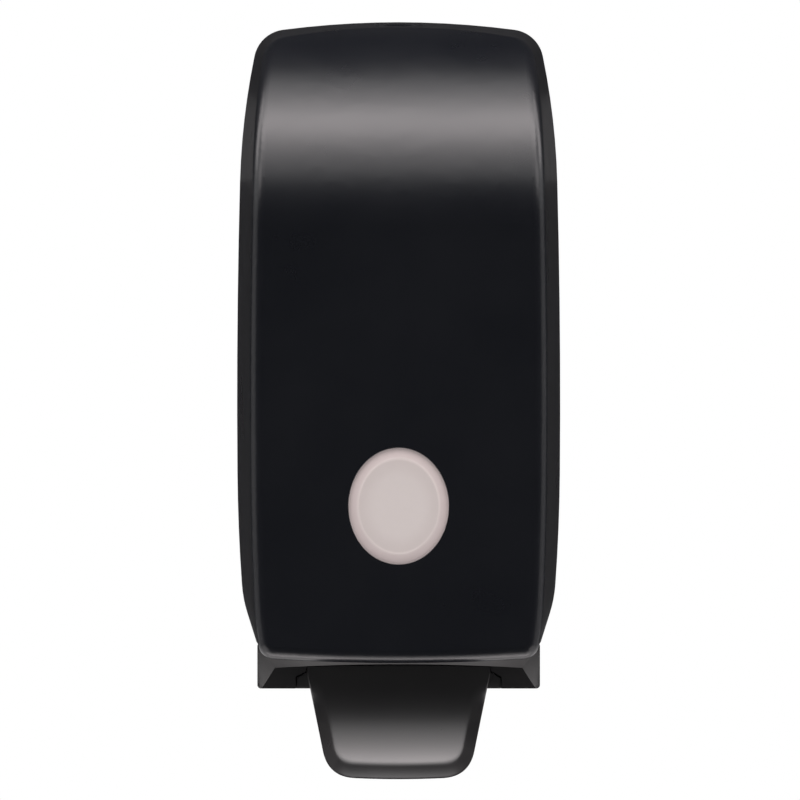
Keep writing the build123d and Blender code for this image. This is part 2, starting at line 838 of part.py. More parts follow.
# Gasket between the end of the neck and the pump's flange
with BuildPart() as cap_gasket:
    with BuildSketch(above(pump_depth, neck_end_z - gasket_thickness)):
        Circle(cylinder_flange_radius)
        Circle(neck_bore, mode=Mode.SUBTRACT)
    extrude(amount=gasket_thickness)
cap_gasket.part.label = "cap_gasket"
export_step(cap_gasket.part, "parts/cap_gasket.step")

# Pump cylinder: a tube inside the bottle, with inlet holes in its closed end and a flange on the cap
with BuildPart() as pump_cylinder:
    turn(
        pump_depth,
        (cylinder_bore, cap_seat_z),
        (cylinder_flange_radius, cap_seat_z),
        (cylinder_flange_radius, neck_end_z - gasket_thickness),
        (cylinder_radius, neck_end_z - gasket_thickness),
        (cylinder_radius, cylinder_top_z),
        (0, cylinder_top_z),
        (0, cylinder_top_z - cylinder_end_thickness),
        (cylinder_bore, cylinder_top_z - cylinder_end_thickness),
    )
    with BuildSketch(above(pump_depth, cylinder_top_z)):
        with PolarLocations(inlet_hole_circle, 4):
            Circle(inlet_hole_radius)
        Circle(valve_stem_radius)
    extrude(amount=-cylinder_end_thickness, mode=Mode.SUBTRACT)
pump_cylinder.part.label = "pump_cylinder"
export_step(pump_cylinder.part, "parts/pump_cylinder.step")

# Inlet valve: a rubber disc under the inlet holes, held by its stem and bulb
valve_seat_z = cylinder_top_z - cylinder_end_thickness
with BuildPart() as inlet_valve:
    turn(
        pump_depth,
        (0, valve_seat_z - valve_disc_thickness),
        (valve_disc_radius, valve_seat_z - valve_disc_thickness / 2),
        (valve_disc_radius, valve_seat_z),
        (valve_stem_radius, valve_seat_z),
        (valve_stem_radius, cylinder_top_z),
        (valve_bulb_radius, cylinder_top_z),
        (0, cylinder_top_z + valve_bulb_height),
    )
inlet_valve.part.label = "inlet_valve"
export_step(inlet_valve.part, "parts/inlet_valve.step")

# Guide in the foot of the cylinder, in which the stem slides
with BuildPart() as stem_guide:
    with BuildSketch(above(pump_depth, cap_seat_z)):
        Circle(cylinder_bore)
        Circle(stem_radius + running_gap, mode=Mode.SUBTRACT)
    extrude(amount=guide_top_z - cap_seat_z)
stem_guide.part.label = "stem_guide"
export_step(stem_guide.part, "parts/stem_guide.step")

# Pump stem: a hollow rod with a head above the seal, a collar below it, and the flange that the arms lift
with BuildPart() as pump_stem:
    turn(
        pump_depth,
        (stem_bore, stem_top_z),
        (stem_head_radius, stem_top_z),
        (stem_head_radius, seal_top_z),
        (stem_radius, seal_top_z),
        (stem_radius, seal_bottom_z),
        (stem_head_radius, seal_bottom_z),
        (stem_head_radius, seal_bottom_z - stem_collar_height),
        (stem_radius, seal_bottom_z - stem_collar_height),
        (stem_radius, flange_top_z),
        (flange_radius, flange_top_z),
        (flange_radius, flange_bottom_z),
        (stem_bore, flange_bottom_z),
    )
pump_stem.part.label = "pump_stem"
export_step(pump_stem.part, "parts/pump_stem.step")

# Piston seal: a rubber ring with a lip at each end, sliding in the cylinder
with BuildPart() as piston_seal:
    seal_radius = cylinder_bore - running_gap
    turn(
        pump_depth,
        (stem_radius, seal_bottom_z),
        (seal_radius, seal_bottom_z),
        (seal_radius, seal_bottom_z + seal_lip),
        (seal_radius - seal_waist, seal_bottom_z + 2 * seal_lip),
        (seal_radius - seal_waist, seal_top_z - 2 * seal_lip),
        (seal_radius, seal_top_z - seal_lip),
        (seal_radius, seal_top_z),
        (stem_radius, seal_top_z),
    )
piston_seal.part.label = "piston_seal"
export_step(piston_seal.part, "parts/piston_seal.step")

# Nozzle under the flange, tapered, with a wider bore for its valve
with BuildPart() as nozzle:
    turn(
        pump_depth,
        (stem_bore, flange_bottom_z),
        (nozzle_collar_radius, flange_bottom_z),
        (nozzle_collar_radius, nozzle_collar_z),
        (nozzle_radius, nozzle_collar_z),
        (nozzle_tip_radius, nozzle_tip_z),
        (nozzle_bore, nozzle_tip_z),
        (nozzle_bore, nozzle_step_z),
        (stem_bore, nozzle_step_z),
    )
nozzle.part.label = "nozzle"
export_step(nozzle.part, "parts/nozzle.step")

# Duckbill valve in the nozzle: a round collar that flattens to a slit, so that the nozzle does not drip
with BuildPart() as nozzle_valve:
    with BuildSketch(above(pump_depth, bill_top_z)):
        Circle(nozzle_bore)
    extrude(amount=nozzle_step_z - bill_top_z)
    with BuildSketch(above(pump_depth, bill_top_z)):
        Circle(bill_radius)
    with BuildSketch(above(pump_depth, bill_tip_z)):
        Ellipse(bill_half_width, bill_half_thickness)
    loft(ruled=True)
nozzle_valve.part.label = "nozzle_valve"
export_step(nozzle_valve.part, "parts/nozzle_valve.step")

# Pump spring: one wire wound round the stem, between the flange and the cap
spring_start_z = flange_top_z + spring_wire / 2
spring_rise = cap_floor_z - flange_top_z - spring_wire
spring_arcs = round(spring_arcs_per_turn * spring_turns)


def spring_point(turn):
    """The middle of the wire after this many turns."""
    x = spring_coil_radius * cos(2 * pi * turn)
    y = spring_coil_radius * sin(2 * pi * turn) - pump_depth
    return Vector(x, y, spring_start_z + spring_rise * turn / spring_turns)


def spring_way(turn):
    """The direction in which the wire runs after this many turns."""
    around = 2 * pi * spring_coil_radius
    way = Vector(-around * sin(2 * pi * turn), around * cos(2 * pi * turn), spring_rise / spring_turns)
    return way.normalized()


with BuildPart() as pump_spring:
    with BuildLine() as spring_path:
        for arc in range(spring_arcs):
            here = arc / spring_arcs_per_turn
            there = (arc + 1) / spring_arcs_per_turn
            biarc(spring_point(here), spring_way(here), spring_point(there), spring_way(there))
    with BuildSketch(Plane(spring_point(0), z_dir=spring_way(0))):
        Circle(spring_wire / 2)
    sweep(path=spring_path.wire())
pump_spring.part.label = "pump_spring"
export_step(pump_spring.part, "parts/pump_spring.step")
steps = [step / spring_gap_steps for step in range(round(spring_gap_steps * spring_turns) + 1)]
spring_gap = min(
    (spring_point(a) - spring_point(b)).length - spring_wire for a in steps for b in steps if b - a > 0.5
)
print(f"pump spring: least gap between turns {spring_gap:.2f} mm")

# Front cover: the moulded shell, with its window, hinge knuckles and a boss for the lock
stake_x = (window_half_width + lens_flange + retainer_width / 2) * cos(radians(stake_angle))
stake_z = (window_half_height + lens_flange + retainer_width / 2) * sin(radians(stake_angle))
stake_places = [(x, window_z + z) for x in (-stake_x, stake_x) for z in (-stake_z, stake_z)]
cover_outside = cover_envelope(0)
cover_inside = cover_envelope(cover_wall)
with BuildPart() as front_cover:
    add(cover_outside)
    add(cover_inside, mode=Mode.SUBTRACT)
    with BuildSketch(above(lock_depth, lock_boss_z)):
        Circle(lock_boss_radius)
    extrude(amount=rim_top_z - lock_boss_z)
    # Knuckles of the hinge, in the corner of the lip
    for right in (knuckle_outer, -knuckle_inner):
        with BuildSketch(side(right)):
            with Locations((hinge_depth, hinge_z)):
                Circle(knuckle_radius)
            with Locations((hinge_depth, arch_middle_z)):
                Rectangle(
                    front_depth - hinge_depth,
                    hinge_z + knuckle_radius - arch_middle_z,
                    align=(Align.MIN, Align.MIN),
                )
                Rectangle(knuckle_radius, hinge_z - arch_middle_z, align=(Align.MAX, Align.MIN))
        extrude(amount=knuckle_outer - knuckle_inner)
    add(cover_outside, mode=Mode.INTERSECT)
    with BuildSketch(above(lock_depth, lock_boss_z)):
        Circle(lock_sleeve_radius)
    extrude(amount=rim_top_z - lock_boss_z, mode=Mode.SUBTRACT)
    with BuildSketch(above(lock_depth, lock_top_z - lock_collar_height)):
        Circle(lock_collar_radius)
    extrude(amount=rim_top_z - lock_boss_z, mode=Mode.SUBTRACT)
    # Behind the lip the cover ends above the base
    with BuildSketch(side(rim_half_width + margin)):
        with Locations((lip_depth, cover_foot_z)):
            Rectangle(
                lip_depth + margin,
                cover_foot_z - arch_middle_z + margin,
                align=(Align.MAX, Align.MAX),
            )
    extrude(amount=2 * (rim_half_width + margin), mode=Mode.SUBTRACT)
    # Notches in the lip, which pass the lugs as the cover swings
    for right in (knuckle_inner, -notch_inner):
        with BuildSketch(side(right)):
            with Locations((notch_front, hinge_z)):
                Rectangle(margin, margin, align=(Align.MAX, Align.MAX))
        extrude(amount=knuckle_inner - notch_inner, mode=Mode.SUBTRACT)
    with BuildSketch(facing(lip_depth)):
        with Locations((0, window_z)):
            Ellipse(window_half_width, window_half_height)
    extrude(amount=front_depth - lip_depth, mode=Mode.SUBTRACT)
    with BuildSketch(facing(retainer_rear)):
        with Locations(*stake_places):
            Circle(stake_radius)
    extrude(amount=lens_flange_front - retainer_rear)
    with BuildSketch(facing(retainer_rear)):
        with Locations(*stake_places):
            Circle(stake_head_radius)
    extrude(amount=-stake_head_height)
    for right in (hinge_pin_outer + slip_gap, -knuckle_inner):
        with BuildSketch(side(right)):
            with Locations((hinge_depth, hinge_z)):
                Circle(hinge_pin_radius + running_gap)
        extrude(amount=hinge_pin_outer + slip_gap - knuckle_inner, mode=Mode.SUBTRACT)
front_cover.part.label = "front_cover"
export_step(front_cover.part, "parts/front_cover.step")

# Window: a milky oval with a bevelled rim, and a flange behind the cover's wall
with BuildPart() as window_lens:
    lens_half_width = window_half_width - lens_gap
    lens_half_height = window_half_height - lens_gap
    with BuildSketch(facing(lens_flange_rear)):
        with Locations((0, window_z)):
            Ellipse(window_half_width + lens_flange, window_half_height + lens_flange)
    extrude(amount=lens_flange_front - lens_flange_rear)
    with BuildSketch(facing(lens_flange_front)):
        with Locations((0, window_z)):
            Ellipse(lens_half_width, lens_half_height)
    extrude(amount=lens_face_depth - lens_rim_drop - lens_flange_front)
    with BuildSketch(facing(lens_face_depth - lens_rim_drop)):
        with Locations((0, window_z)):
            Ellipse(lens_half_width, lens_half_height)
    with BuildSketch(facing(lens_face_depth)):
        with Locations((0, window_z)):
            Ellipse(lens_half_width - lens_rim, lens_half_height - lens_rim)
    loft(ruled=True)
window_lens.part.label = "window_lens"
export_step(window_lens.part, "parts/window_lens.step")

# Ring that holds the window's flange, staked to the cover
with BuildPart() as window_retainer:
    with BuildSketch(facing(retainer_rear)):
        with Locations((0, window_z)):
            Ellipse(
                window_half_width + lens_flange + retainer_width,
                window_half_height + lens_flange + retainer_width,
            )
            Ellipse(window_half_width - lens_flange, window_half_height - lens_flange, mode=Mode.SUBTRACT)
        with Locations(*stake_places):
            Circle(stake_radius + running_gap, mode=Mode.SUBTRACT)
    extrude(amount=lens_flange_rear - retainer_rear)
window_retainer.part.label = "window_retainer"
export_step(window_retainer.part, "parts/window_retainer.step")

# Lock: a flanged sleeve in the cover, the barrel that the key turns, its cam, and the nut under the cam
with BuildPart() as lock_escutcheon:
    turn(
        lock_depth,
        (lock_barrel_radius + running_gap, lock_boss_z),
        (lock_sleeve_radius - running_gap, lock_boss_z),
        (lock_sleeve_radius - running_gap, lock_top_z - lock_collar_height),
        (lock_collar_radius - running_gap, lock_top_z - lock_collar_height),
        (lock_collar_radius - running_gap, lock_top_z),
        (lock_barrel_radius + running_gap, lock_top_z),
    )
lock_escutcheon.part.label = "lock_escutcheon"
export_step(lock_escutcheon.part, "parts/lock_escutcheon.step")

with BuildPart() as lock_barrel:
    with BuildSketch(above(lock_depth, lock_shoulder_z)):
        Circle(lock_barrel_radius)
    extrude(amount=lock_top_z - lock_shoulder_z)
    with BuildSketch(above(lock_depth, lock_stud_z)):
        Circle(lock_stud_radius)
    extrude(amount=lock_shoulder_z - lock_stud_z)
    with BuildSketch(above(lock_depth, lock_top_z)):
        Rectangle(key_slot_length, key_slot_width)
    extrude(amount=-key_slot_depth, mode=Mode.SUBTRACT)
lock_barrel.part.label = "lock_barrel"
export_step(lock_barrel.part, "parts/lock_barrel.step")

with BuildPart() as lock_cam:
    with BuildSketch(above(lock_depth, lock_shoulder_z)):
        Circle(cam_hub_radius)
        Rectangle(cam_reach, 2 * cam_half_width, align=(Align.MIN, Align.CENTER))
        Circle(lock_stud_radius, mode=Mode.SUBTRACT)
    extrude(amount=-cam_thickness)
lock_cam.part.label = "lock_cam"
export_step(lock_cam.part, "parts/lock_cam.step")

with BuildPart() as cam_nut:
    with BuildSketch(above(lock_depth, cam_nut_z)):
        RegularPolygon(cam_nut_across / 2, 6, major_radius=False)
        Circle(lock_stud_radius, mode=Mode.SUBTRACT)
    extrude(amount=lock_shoulder_z - cam_thickness - cam_nut_z)
cam_nut.part.label = "cam_nut"
export_step(cam_nut.part, "parts/cam_nut.step")
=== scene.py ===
import bmesh
import bpy
import math
import mathutils
import numpy as np
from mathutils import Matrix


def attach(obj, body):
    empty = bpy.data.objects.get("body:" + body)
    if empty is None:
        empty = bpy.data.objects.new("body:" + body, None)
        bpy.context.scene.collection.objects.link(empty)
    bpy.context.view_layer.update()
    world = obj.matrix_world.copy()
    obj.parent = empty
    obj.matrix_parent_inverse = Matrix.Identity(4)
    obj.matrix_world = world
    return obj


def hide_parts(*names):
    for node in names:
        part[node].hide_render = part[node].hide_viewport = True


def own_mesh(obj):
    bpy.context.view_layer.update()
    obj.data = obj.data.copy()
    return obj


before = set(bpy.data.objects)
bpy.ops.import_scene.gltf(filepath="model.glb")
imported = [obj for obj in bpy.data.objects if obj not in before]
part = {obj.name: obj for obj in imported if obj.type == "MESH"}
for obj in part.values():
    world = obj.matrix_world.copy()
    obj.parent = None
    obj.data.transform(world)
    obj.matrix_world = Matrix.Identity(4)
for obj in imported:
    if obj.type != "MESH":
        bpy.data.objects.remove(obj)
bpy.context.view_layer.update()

# Back plate: the ribbed plate that four screws hold on the wall, and that carries everything else.
# Injection-moulded polypropylene in dark grey, with the dull, finely pitted skin of a spark-eroded mould.


def linear(code):
    """A hex colour as the linear values that a shader takes."""
    values = [int(code[i : i + 2], 16) / 255 for i in (1, 3, 5)]
    return [v / 12.92 if v <= 0.04045 else ((v + 0.055) / 1.055) ** 2.4 for v in values] + [1.0]


def add_node(tree, kind, inputs=None, **settings):
    """Adds a node, sets its properties, and fills or links its inputs."""
    made = tree.nodes.new(kind)
    for key, value in settings.items():
        setattr(made, key, value)
    for key, value in (inputs or {}).items():
        if isinstance(value, bpy.types.NodeSocket):
            tree.links.new(value, made.inputs[key])
        else:
            made.inputs[key].default_value = value
    return made


def new_finish(name):
    """An empty material, its node tree, its place in millimetres, and a call that sets its shader."""
    finish = bpy.data.materials.new(name)
    finish.use_nodes = True
    tree = finish.node_tree
    tree.nodes.clear()
    place = add_node(tree, "ShaderNodeTexCoord").outputs["Object"]
    millimetres = add_node(tree, "ShaderNodeVectorMath", {0: place, 1: (1000.0,) * 3}, operation="MULTIPLY")

    def show(shader):
        output = add_node(tree, "ShaderNodeOutputMaterial")
        tree.links.new(shader.outputs[0], output.inputs["Surface"])

    return finish, tree, millimetres.outputs["Vector"], show


def wear(finish, *names):
    """Gives these CAD nodes the finish."""
    for name in names:
        part[name].data.materials[0] = finish


# Spark-grained polypropylene: pits about half a millimetre across break up the gloss, and the flow of the
# melt leaves faint cloudy patches.
grained_grey, tree, place, show = new_finish("spark_grained_polypropylene")
pit_mm = 0.5
cloud_mm = 24.0
pits = add_node(tree, "ShaderNodeTexNoise", {"Vector": place, "Scale": 1 / pit_mm, "Detail": 2.0})
clouds = add_node(tree, "ShaderNodeTexNoise", {"Vector": place, "Scale": 1 / cloud_mm, "Detail": 3.0})
tint = add_node(
    tree,
    "ShaderNodeMix",
    {"Factor": clouds.outputs["Fac"], "A": linear("#2b2c2e"), "B": linear("#343537")},
    data_type="RGBA",
)
dull = add_node(
    tree,
    "ShaderNodeMapRange",
    {"Value": pits.outputs["Fac"], "From Min": 0.3, "From Max": 0.7, "To Min": 0.48, "To Max": 0.64},
)
relief = add_node(
    tree, "ShaderNodeBump", {"Height": pits.outputs["Fac"], "Strength": 0.4, "Distance": 0.00003}
)
show(
    add_node(
        tree,
        "ShaderNodeBsdfPrincipled",
        {
            "Base Color": tint.outputs["Result"],
            "Roughness": dull.outputs["Result"],
            "IOR": 1.49,
            "Normal": relief.outputs["Normal"],
        },
    )
)
wear(grained_grey, "back_plate")

# Base housing: the skirt under the cover, whose panel is set back in a frame of facets.
# Injection-moulded ABS, black in the mass, with a satin polish; four screws hold it from behind.

# Fine-grained black ABS: a slightly greyer black than the cover's, painted lighter to make up for the shade
# that the cover casts on the base and lever. A fine grain spreads a highlight softly, the gloss changes a
# little where the melt cooled unevenly, and hands have polished it over.


def black_abs(name, tints, gloss_range, polish):
    """Black ABS with a fine grain, between two tints and two levels of roughness, with a share of polish."""
    finish, tree, place, show = new_finish(name)
    grain_mm = 0.45
    gloss_mm = 32.0
    polish_roughness = 0.27
    grain = add_node(tree, "ShaderNodeTexNoise", {"Vector": place, "Scale": 1 / grain_mm, "Detail": 2.0})
    gloss = add_node(tree, "ShaderNodeTexNoise", {"Vector": place, "Scale": 1 / gloss_mm, "Detail": 8.0})
    tint = add_node(
        tree,
        "ShaderNodeMix",
        {"Factor": gloss.outputs["Fac"], "A": linear(tints[0]), "B": linear(tints[1])},
        data_type="RGBA",
    )
    satin = add_node(
        tree,
        "ShaderNodeMapRange",
        {"Value": gloss.outputs["Fac"], "To Min": gloss_range[0], "To Max": gloss_range[1]},
    )
    relief = add_node(
        tree, "ShaderNodeBump", {"Height": grain.outputs["Fac"], "Strength": 0.12, "Distance": 0.00002}
    )
    show(
        add_node(
            tree,
            "ShaderNodeBsdfPrincipled",
            {
                "Base Color": tint.outputs["Result"],
                "Roughness": satin.outputs["Result"],
                "IOR": 1.54,
                "Coat Weight": polish,
                "Coat Roughness": polish_roughness,
                "Normal": relief.outputs["Normal"],
            },
        )
    )
    return finish


# Its tints are painted lighter than the cover's, as painted light that lifts the shade under the cover.
black_base_painted_lighter = black_abs("fine_grained_black_abs_painted_lighter", ("#1d1d1e", "#212021"), (0.24, 0.34), 0.7)
wear(black_base_painted_lighter, "base_housing")

# Base screws: four thread-forming screws that hold the base on the back plate, sunk in its rear face.
# Zinc-plated steel with a domed head and a cross recess, headed and rolled from wire.

# Zinc-plated steel: bright metal, with a faintly blue and yellow passivated film and fine drawing marks.
zinc_steel, tree, place, show = new_finish("zinc_plated_steel")
film_mm = 5.0
mark_mm = 0.6
film = add_node(tree, "ShaderNodeTexNoise", {"Vector": place, "Scale": 1 / film_mm, "Detail": 3.0})
marks = add_node(tree, "ShaderNodeTexNoise", {"Vector": place, "Scale": 1 / mark_mm, "Detail": 3.0})
tint = add_node(
    tree,
    "ShaderNodeMix",
    {"Factor": film.outputs["Fac"], "A": linear("#c6c9cf"), "B": linear("#d2cfc6")},
    data_type="RGBA",
)
dull = add_node(
    tree,
    "ShaderNodeMapRange",
    {"Value": marks.outputs["Fac"], "From Min": 0.3, "From Max": 0.7, "To Min": 0.24, "To Max": 0.4},
)
relief = add_node(
    tree, "ShaderNodeBump", {"Height": marks.outputs["Fac"], "Strength": 0.15, "Distance": 0.00002}
)
show(
    add_node(
        tree,
        "ShaderNodeBsdfPrincipled",
        {
            "Base Color": tint.outputs["Result"],
            "Metallic": 1.0,
            "Roughness": dull.outputs["Result"],
            "Normal": relief.outputs["Normal"],
        },
    )
)


def input_sockets(tree, sizes):
    """Gives a node tree its named inputs, and returns their sockets and the identifiers of its sizes."""
    tree.interface.new_socket("Geometry", in_out="INPUT", socket_type="NodeSocketGeometry")
    tree.interface.new_socket("Geometry", in_out="OUTPUT", socket_type="NodeSocketGeometry")
    names = {}
    for name, value in sizes.items():
        kind = "NodeSocketVector" if isinstance(value, tuple) else "NodeSocketFloat"
        names[name] = tree.interface.new_socket(name, in_out="INPUT", socket_type=kind).identifier
    return tree.nodes.new("NodeGroupInput").outputs, names


def close_tree(tree, shape, finish):
    """Ends a node tree: real geometry, smooth but for its sharp edges, in one finish."""
    sharp_turn = math.radians(35)
    real = add_node(tree, "GeometryNodeRealizeInstances", {"Geometry": shape})
    smooth = add_node(
        tree, "GeometryNodeSetShadeSmooth", {"Geometry": real.outputs["Geometry"]}, domain="FACE"
    )
    angle = add_node(tree, "GeometryNodeInputMeshEdgeAngle").outputs["Unsigned Angle"]
    sharp = add_node(tree, "FunctionNodeCompare", {0: angle, 1: sharp_turn}, operation="GREATER_THAN")
    edged = add_node(
        tree,
        "GeometryNodeSetShadeSmooth",
        {"Geometry": smooth.outputs["Geometry"], "Selection": sharp.outputs["Result"], "Shade Smooth": False},
        domain="EDGE",
    )
    dressed = add_node(
        tree, "GeometryNodeSetMaterial", {"Geometry": edged.outputs["Geometry"], "Material": finish}
    )
    end = tree.nodes.new("NodeGroupOutput")
    tree.links.new(dressed.outputs["Geometry"], end.inputs["Geometry"])


def add_object(name, data):
    """Adds an object with this mesh, lamp or camera to the scene."""
    made = bpy.data.objects.new(name, data)
    bpy.context.scene.collection.objects.link(made)
    return made


def bake(name, tree, names, sizes, points=((0.0, 0.0, 0.0),)):
    """Runs a node tree on a few points and returns the result as a plain mesh object."""
    point_mesh = bpy.data.meshes.new(name + "_points")
    point_mesh.from_pydata(points, [], [])
    maker = add_object(name + "_maker", point_mesh)
    modifier = maker.modifiers.new(name, "NODES")
    modifier.node_group = tree
    for key, value in sizes.items():
        modifier[names[key]] = value
    ready = maker.evaluated_get(bpy.context.evaluated_depsgraph_get())
    mesh = bpy.data.meshes.new_from_object(ready)
    mesh.name = name
    bpy.data.objects.remove(maker)
    return add_object(name, mesh)


def pan_head_screws(name, sizes, seats):
    """Screws with their heads on these seats: a domed head with a cross recess, and a rolled thread."""
    head_sides = 40
    dome_rings = 28
    shank_sides = 24
    tree = bpy.data.node_groups.new(name, "GeometryNodeTree")
    given, names = input_sockets(tree, sizes)

    def raised(shape, height, share=1.0):
        way = add_node(tree, "ShaderNodeCombineXYZ", {"Z": height}).outputs["Vector"]
        lift = add_node(tree, "ShaderNodeVectorMath", {0: way, "Scale": share}, operation="SCALE")
        moved = add_node(
            tree, "GeometryNodeTransform", {"Geometry": shape, "Translation": lift.outputs["Vector"]}
        )
        return moved.outputs["Geometry"]

    head_height = given["Head height"]
    side = add_node(
        tree,
        "GeometryNodeMeshCylinder",
        {"Vertices": head_sides, "Radius": given["Head radius"], "Depth": head_height},
    )
    dome = add_node(
        tree,
        "GeometryNodeMeshUVSphere",
        {"Segments": head_sides, "Rings": dome_rings, "Radius": given["Dome radius"]},
    )
    head = add_node(tree, "GeometryNodeMeshBoolean", operation="INTERSECT", solver="EXACT")
    tree.links.new(raised(side.outputs["Mesh"], head_height, 0.5), head.inputs["Mesh 2"])
    tree.links.new(raised(dome.outputs["Mesh"], given["Dome middle"]), head.inputs["Mesh 2"])
    cut = add_node(
        tree,
        "GeometryNodeMeshBoolean",
        {"Mesh 1": head.outputs["Mesh"]},
        operation="DIFFERENCE",
        solver="EXACT",
    )
    length, width = given["Recess length"], given["Recess width"]
    for across, along in ((length, width), (width, length)):
        size = add_node(tree, "ShaderNodeCombineXYZ", {"X": across, "Y": along, "Z": given["Recess bar"]})
        bar = add_node(tree, "GeometryNodeMeshCube", {"Size": size.outputs["Vector"]})
        tree.links.new(raised(bar.outputs["Mesh"], head_height), cut.inputs["Mesh 2"])
    shank_length = given["Shank length"]
    core_radius = given["Core radius"]
    core = add_node(
        tree,
        "GeometryNodeMeshCylinder",
        {"Vertices": shank_sides, "Radius": core_radius, "Depth": shank_length},
    )
    turns = add_node(
        tree, "ShaderNodeMath", {0: shank_length, 1: given["Thread pitch"]}, operation="DIVIDE"
    ).outputs[0]
    helix = add_node(
        tree,
        "GeometryNodeCurveSpiral",
        {
            "Resolution": shank_sides,
            "Rotations": turns,
            "Start Radius": core_radius,
            "End Radius": core_radius,
            "Height": shank_length,
        },
    )
    ridge = add_node(
        tree, "GeometryNodeCurvePrimitiveCircle", {"Resolution": 4, "Radius": given["Ridge radius"]}
    )
    thread = add_node(
        tree,
        "GeometryNodeCurveToMesh",
        {"Curve": helix.outputs["Curve"], "Profile Curve": ridge.outputs["Curve"], "Fill Caps": True},
    )
    screw = add_node(tree, "GeometryNodeJoinGeometry")
    tree.links.new(raised(thread.outputs["Mesh"], shank_length, -1.0), screw.inputs["Geometry"])
    tree.links.new(raised(core.outputs["Mesh"], shank_length, -0.5), screw.inputs["Geometry"])
    tree.links.new(cut.outputs["Mesh"], screw.inputs["Geometry"])
    placed = add_node(
        tree,
        "GeometryNodeInstanceOnPoints",
        {"Points": given["Geometry"], "Instance": screw.outputs["Geometry"], "Rotation": given["Turn"]},
    )
    close_tree(tree, placed.outputs["Instances"], zinc_steel)
    piece = bake(name, tree, names, sizes, seats)
    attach(piece, "chassis")
    return piece


heads_to_wall = (-math.pi / 2, 0.0, 0.0)
screw_sizes = {
    "Head radius": 0.003,
    "Head height": 0.0022,
    "Dome radius": 0.00435,
    "Dome middle": -0.00215,
    "Recess length": 0.0033,
    "Recess width": 0.0007,
    "Recess bar": 0.00242,
    "Core radius": 0.00126,
    "Ridge radius": 0.00024,
    "Thread pitch": 0.0008,
    "Shank length": 0.0073,
    "Turn": heads_to_wall,
}
base_screw_z = -0.1135
base_screws = pan_head_screws(
    "base_pan_head_screws",
    screw_sizes,
    [(x, -screw_sizes["Head height"], base_screw_z) for x in (-0.044, -0.02, 0.02, 0.044)],
)
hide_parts("base_screws")

# Hinge pins, lever shaft and clips: the cover drops open on the two short pins, and the lever turns on the
# shaft, which the spring clips hold in the cheeks of the base.
# Drawn steel wire and stamped spring steel, zinc plated.
wear(zinc_steel, "cover_hinge_pins", "lever_shaft", "shaft_clips")

# Push lever: the scooped blade that the hand pushes, hung on the shaft, with two arms that lift the pump.
# The same black ABS as the base, moulded in one piece. The dish of the blade runs softly into its rim.
# Its sizes are in millimetres.
blade_mm = {"face": 97.5, "back": 94.5, "scoop_z": -116.5, "scoop_radius": 53.5}
blade_top = ((32.65, -113.3), (0.0, -112.8))
blade_foot = ((25.2, -152.3), (0.0, -153.25))
blade_knee = (32.65, -116.0)
blade_middle = np.array([0.0, -131.0])
corner_run = 9.25
corner_pull = 0.67
edge_round = 0.4
rim_soft = 1.6
rim_slope = 0.5
rim_widths = (4.1, 5.4)
rim_fade = (-118.0, -127.0)
edge_points = 160
corner_points = 60
outline_points = 288
# Shares of the way from the outline to the middle, close together along the rounded edge.
ring_steps = [0.0, 0.002, 0.005, 0.01, 0.017] + [0.03 + 0.02 * k for k in range(48)]


def arch(end, middle, half, count):
    """Points of a shallow arch, from its left to its right."""
    x = np.linspace(-half, half, count)
    return np.stack([x, middle[1] + (end[1] - middle[1]) * (x / end[0]) ** 2], axis=1)


foot_corner = np.array(blade_foot[0])
side_way = np.array(blade_knee) - foot_corner
corner_start = foot_corner + side_way * corner_run / np.linalg.norm(side_way)
bottom = arch(*blade_foot, blade_foot[0][0] - corner_run, edge_points)
corner_end = bottom[-1]
first_pull, last_pull = [end + corner_pull * (foot_corner - end) for end in (corner_start, corner_end)]
t = np.linspace(0, 1, corner_points)[:, None]
corner = (
    (1 - t) ** 3 * corner_start
    + 3 * t * (1 - t) ** 2 * first_pull
    + 3 * t**2 * (1 - t) * last_pull
    + t**3 * corner_end
)
side_line = np.linspace(blade_knee, corner_start, edge_points, endpoint=False)
right_edge = np.concatenate([side_line, corner[:-1]])
left_edge = right_edge[::-1] * (-1, 1)
low_edge = np.concatenate([right_edge, bottom[::-1], left_edge])
outline = np.concatenate([arch(*blade_top, blade_top[0][0], edge_points), low_edge])
outline = np.concatenate([outline, outline[:1]])
run = np.concatenate([[0], np.cumsum(np.linalg.norm(np.diff(outline, axis=0), axis=1))])
even = np.linspace(0, run[-1], outline_points, endpoint=False)
outline = np.stack([np.interp(even, run, outline[:, k]) for k in (0, 1)], axis=1)
edge_way = np.gradient(low_edge, axis=0)
levelness = np.clip(np.abs(edge_way[:, 0]) / np.linalg.norm(edge_way, axis=1), 0, 1)


def scoop_depth(z, radius):
    """Depth of a face that is upright down to the scoop and then curves forward."""
    below = np.clip(blade_mm["scoop_z"] - z, 0, None)
    return blade_mm["face"] + blade_mm["scoop_radius"] - np.sqrt(radius**2 - below**2)


def blade_front(points):
    """Depth of the blade's front: the scoop, less the fall of its rim and the rounding of its edge."""
    away = np.linalg.norm(points[:, None] - low_edge[None], axis=2)
    level = levelness[away.argmin(axis=1)]
    away = away.min(axis=1)
    width = rim_widths[0] + (rim_widths[1] - rim_widths[0]) * level
    fade = np.clip((rim_fade[0] - points[:, 1]) / (rim_fade[0] - rim_fade[1]), 0, 1)
    slope = rim_slope * fade**2 * (3 - 2 * fade)
    into = np.clip(width - away + rim_soft / 2, 0, None)
    fall = np.where(into < rim_soft, into**2 / (2 * rim_soft), into - rim_soft / 2)
    near = np.clip(edge_round - away, 0, None)
    rounding = edge_round - np.sqrt(edge_round**2 - near**2)
    return scoop_depth(points[:, 1], blade_mm["scoop_radius"]) - slope * fall - rounding


def blade_back(points):
    """Depth of the blade's back, which follows the scoop."""
    return scoop_depth(points[:, 1], blade_mm["scoop_radius"] + blade_mm["face"] - blade_mm["back"])


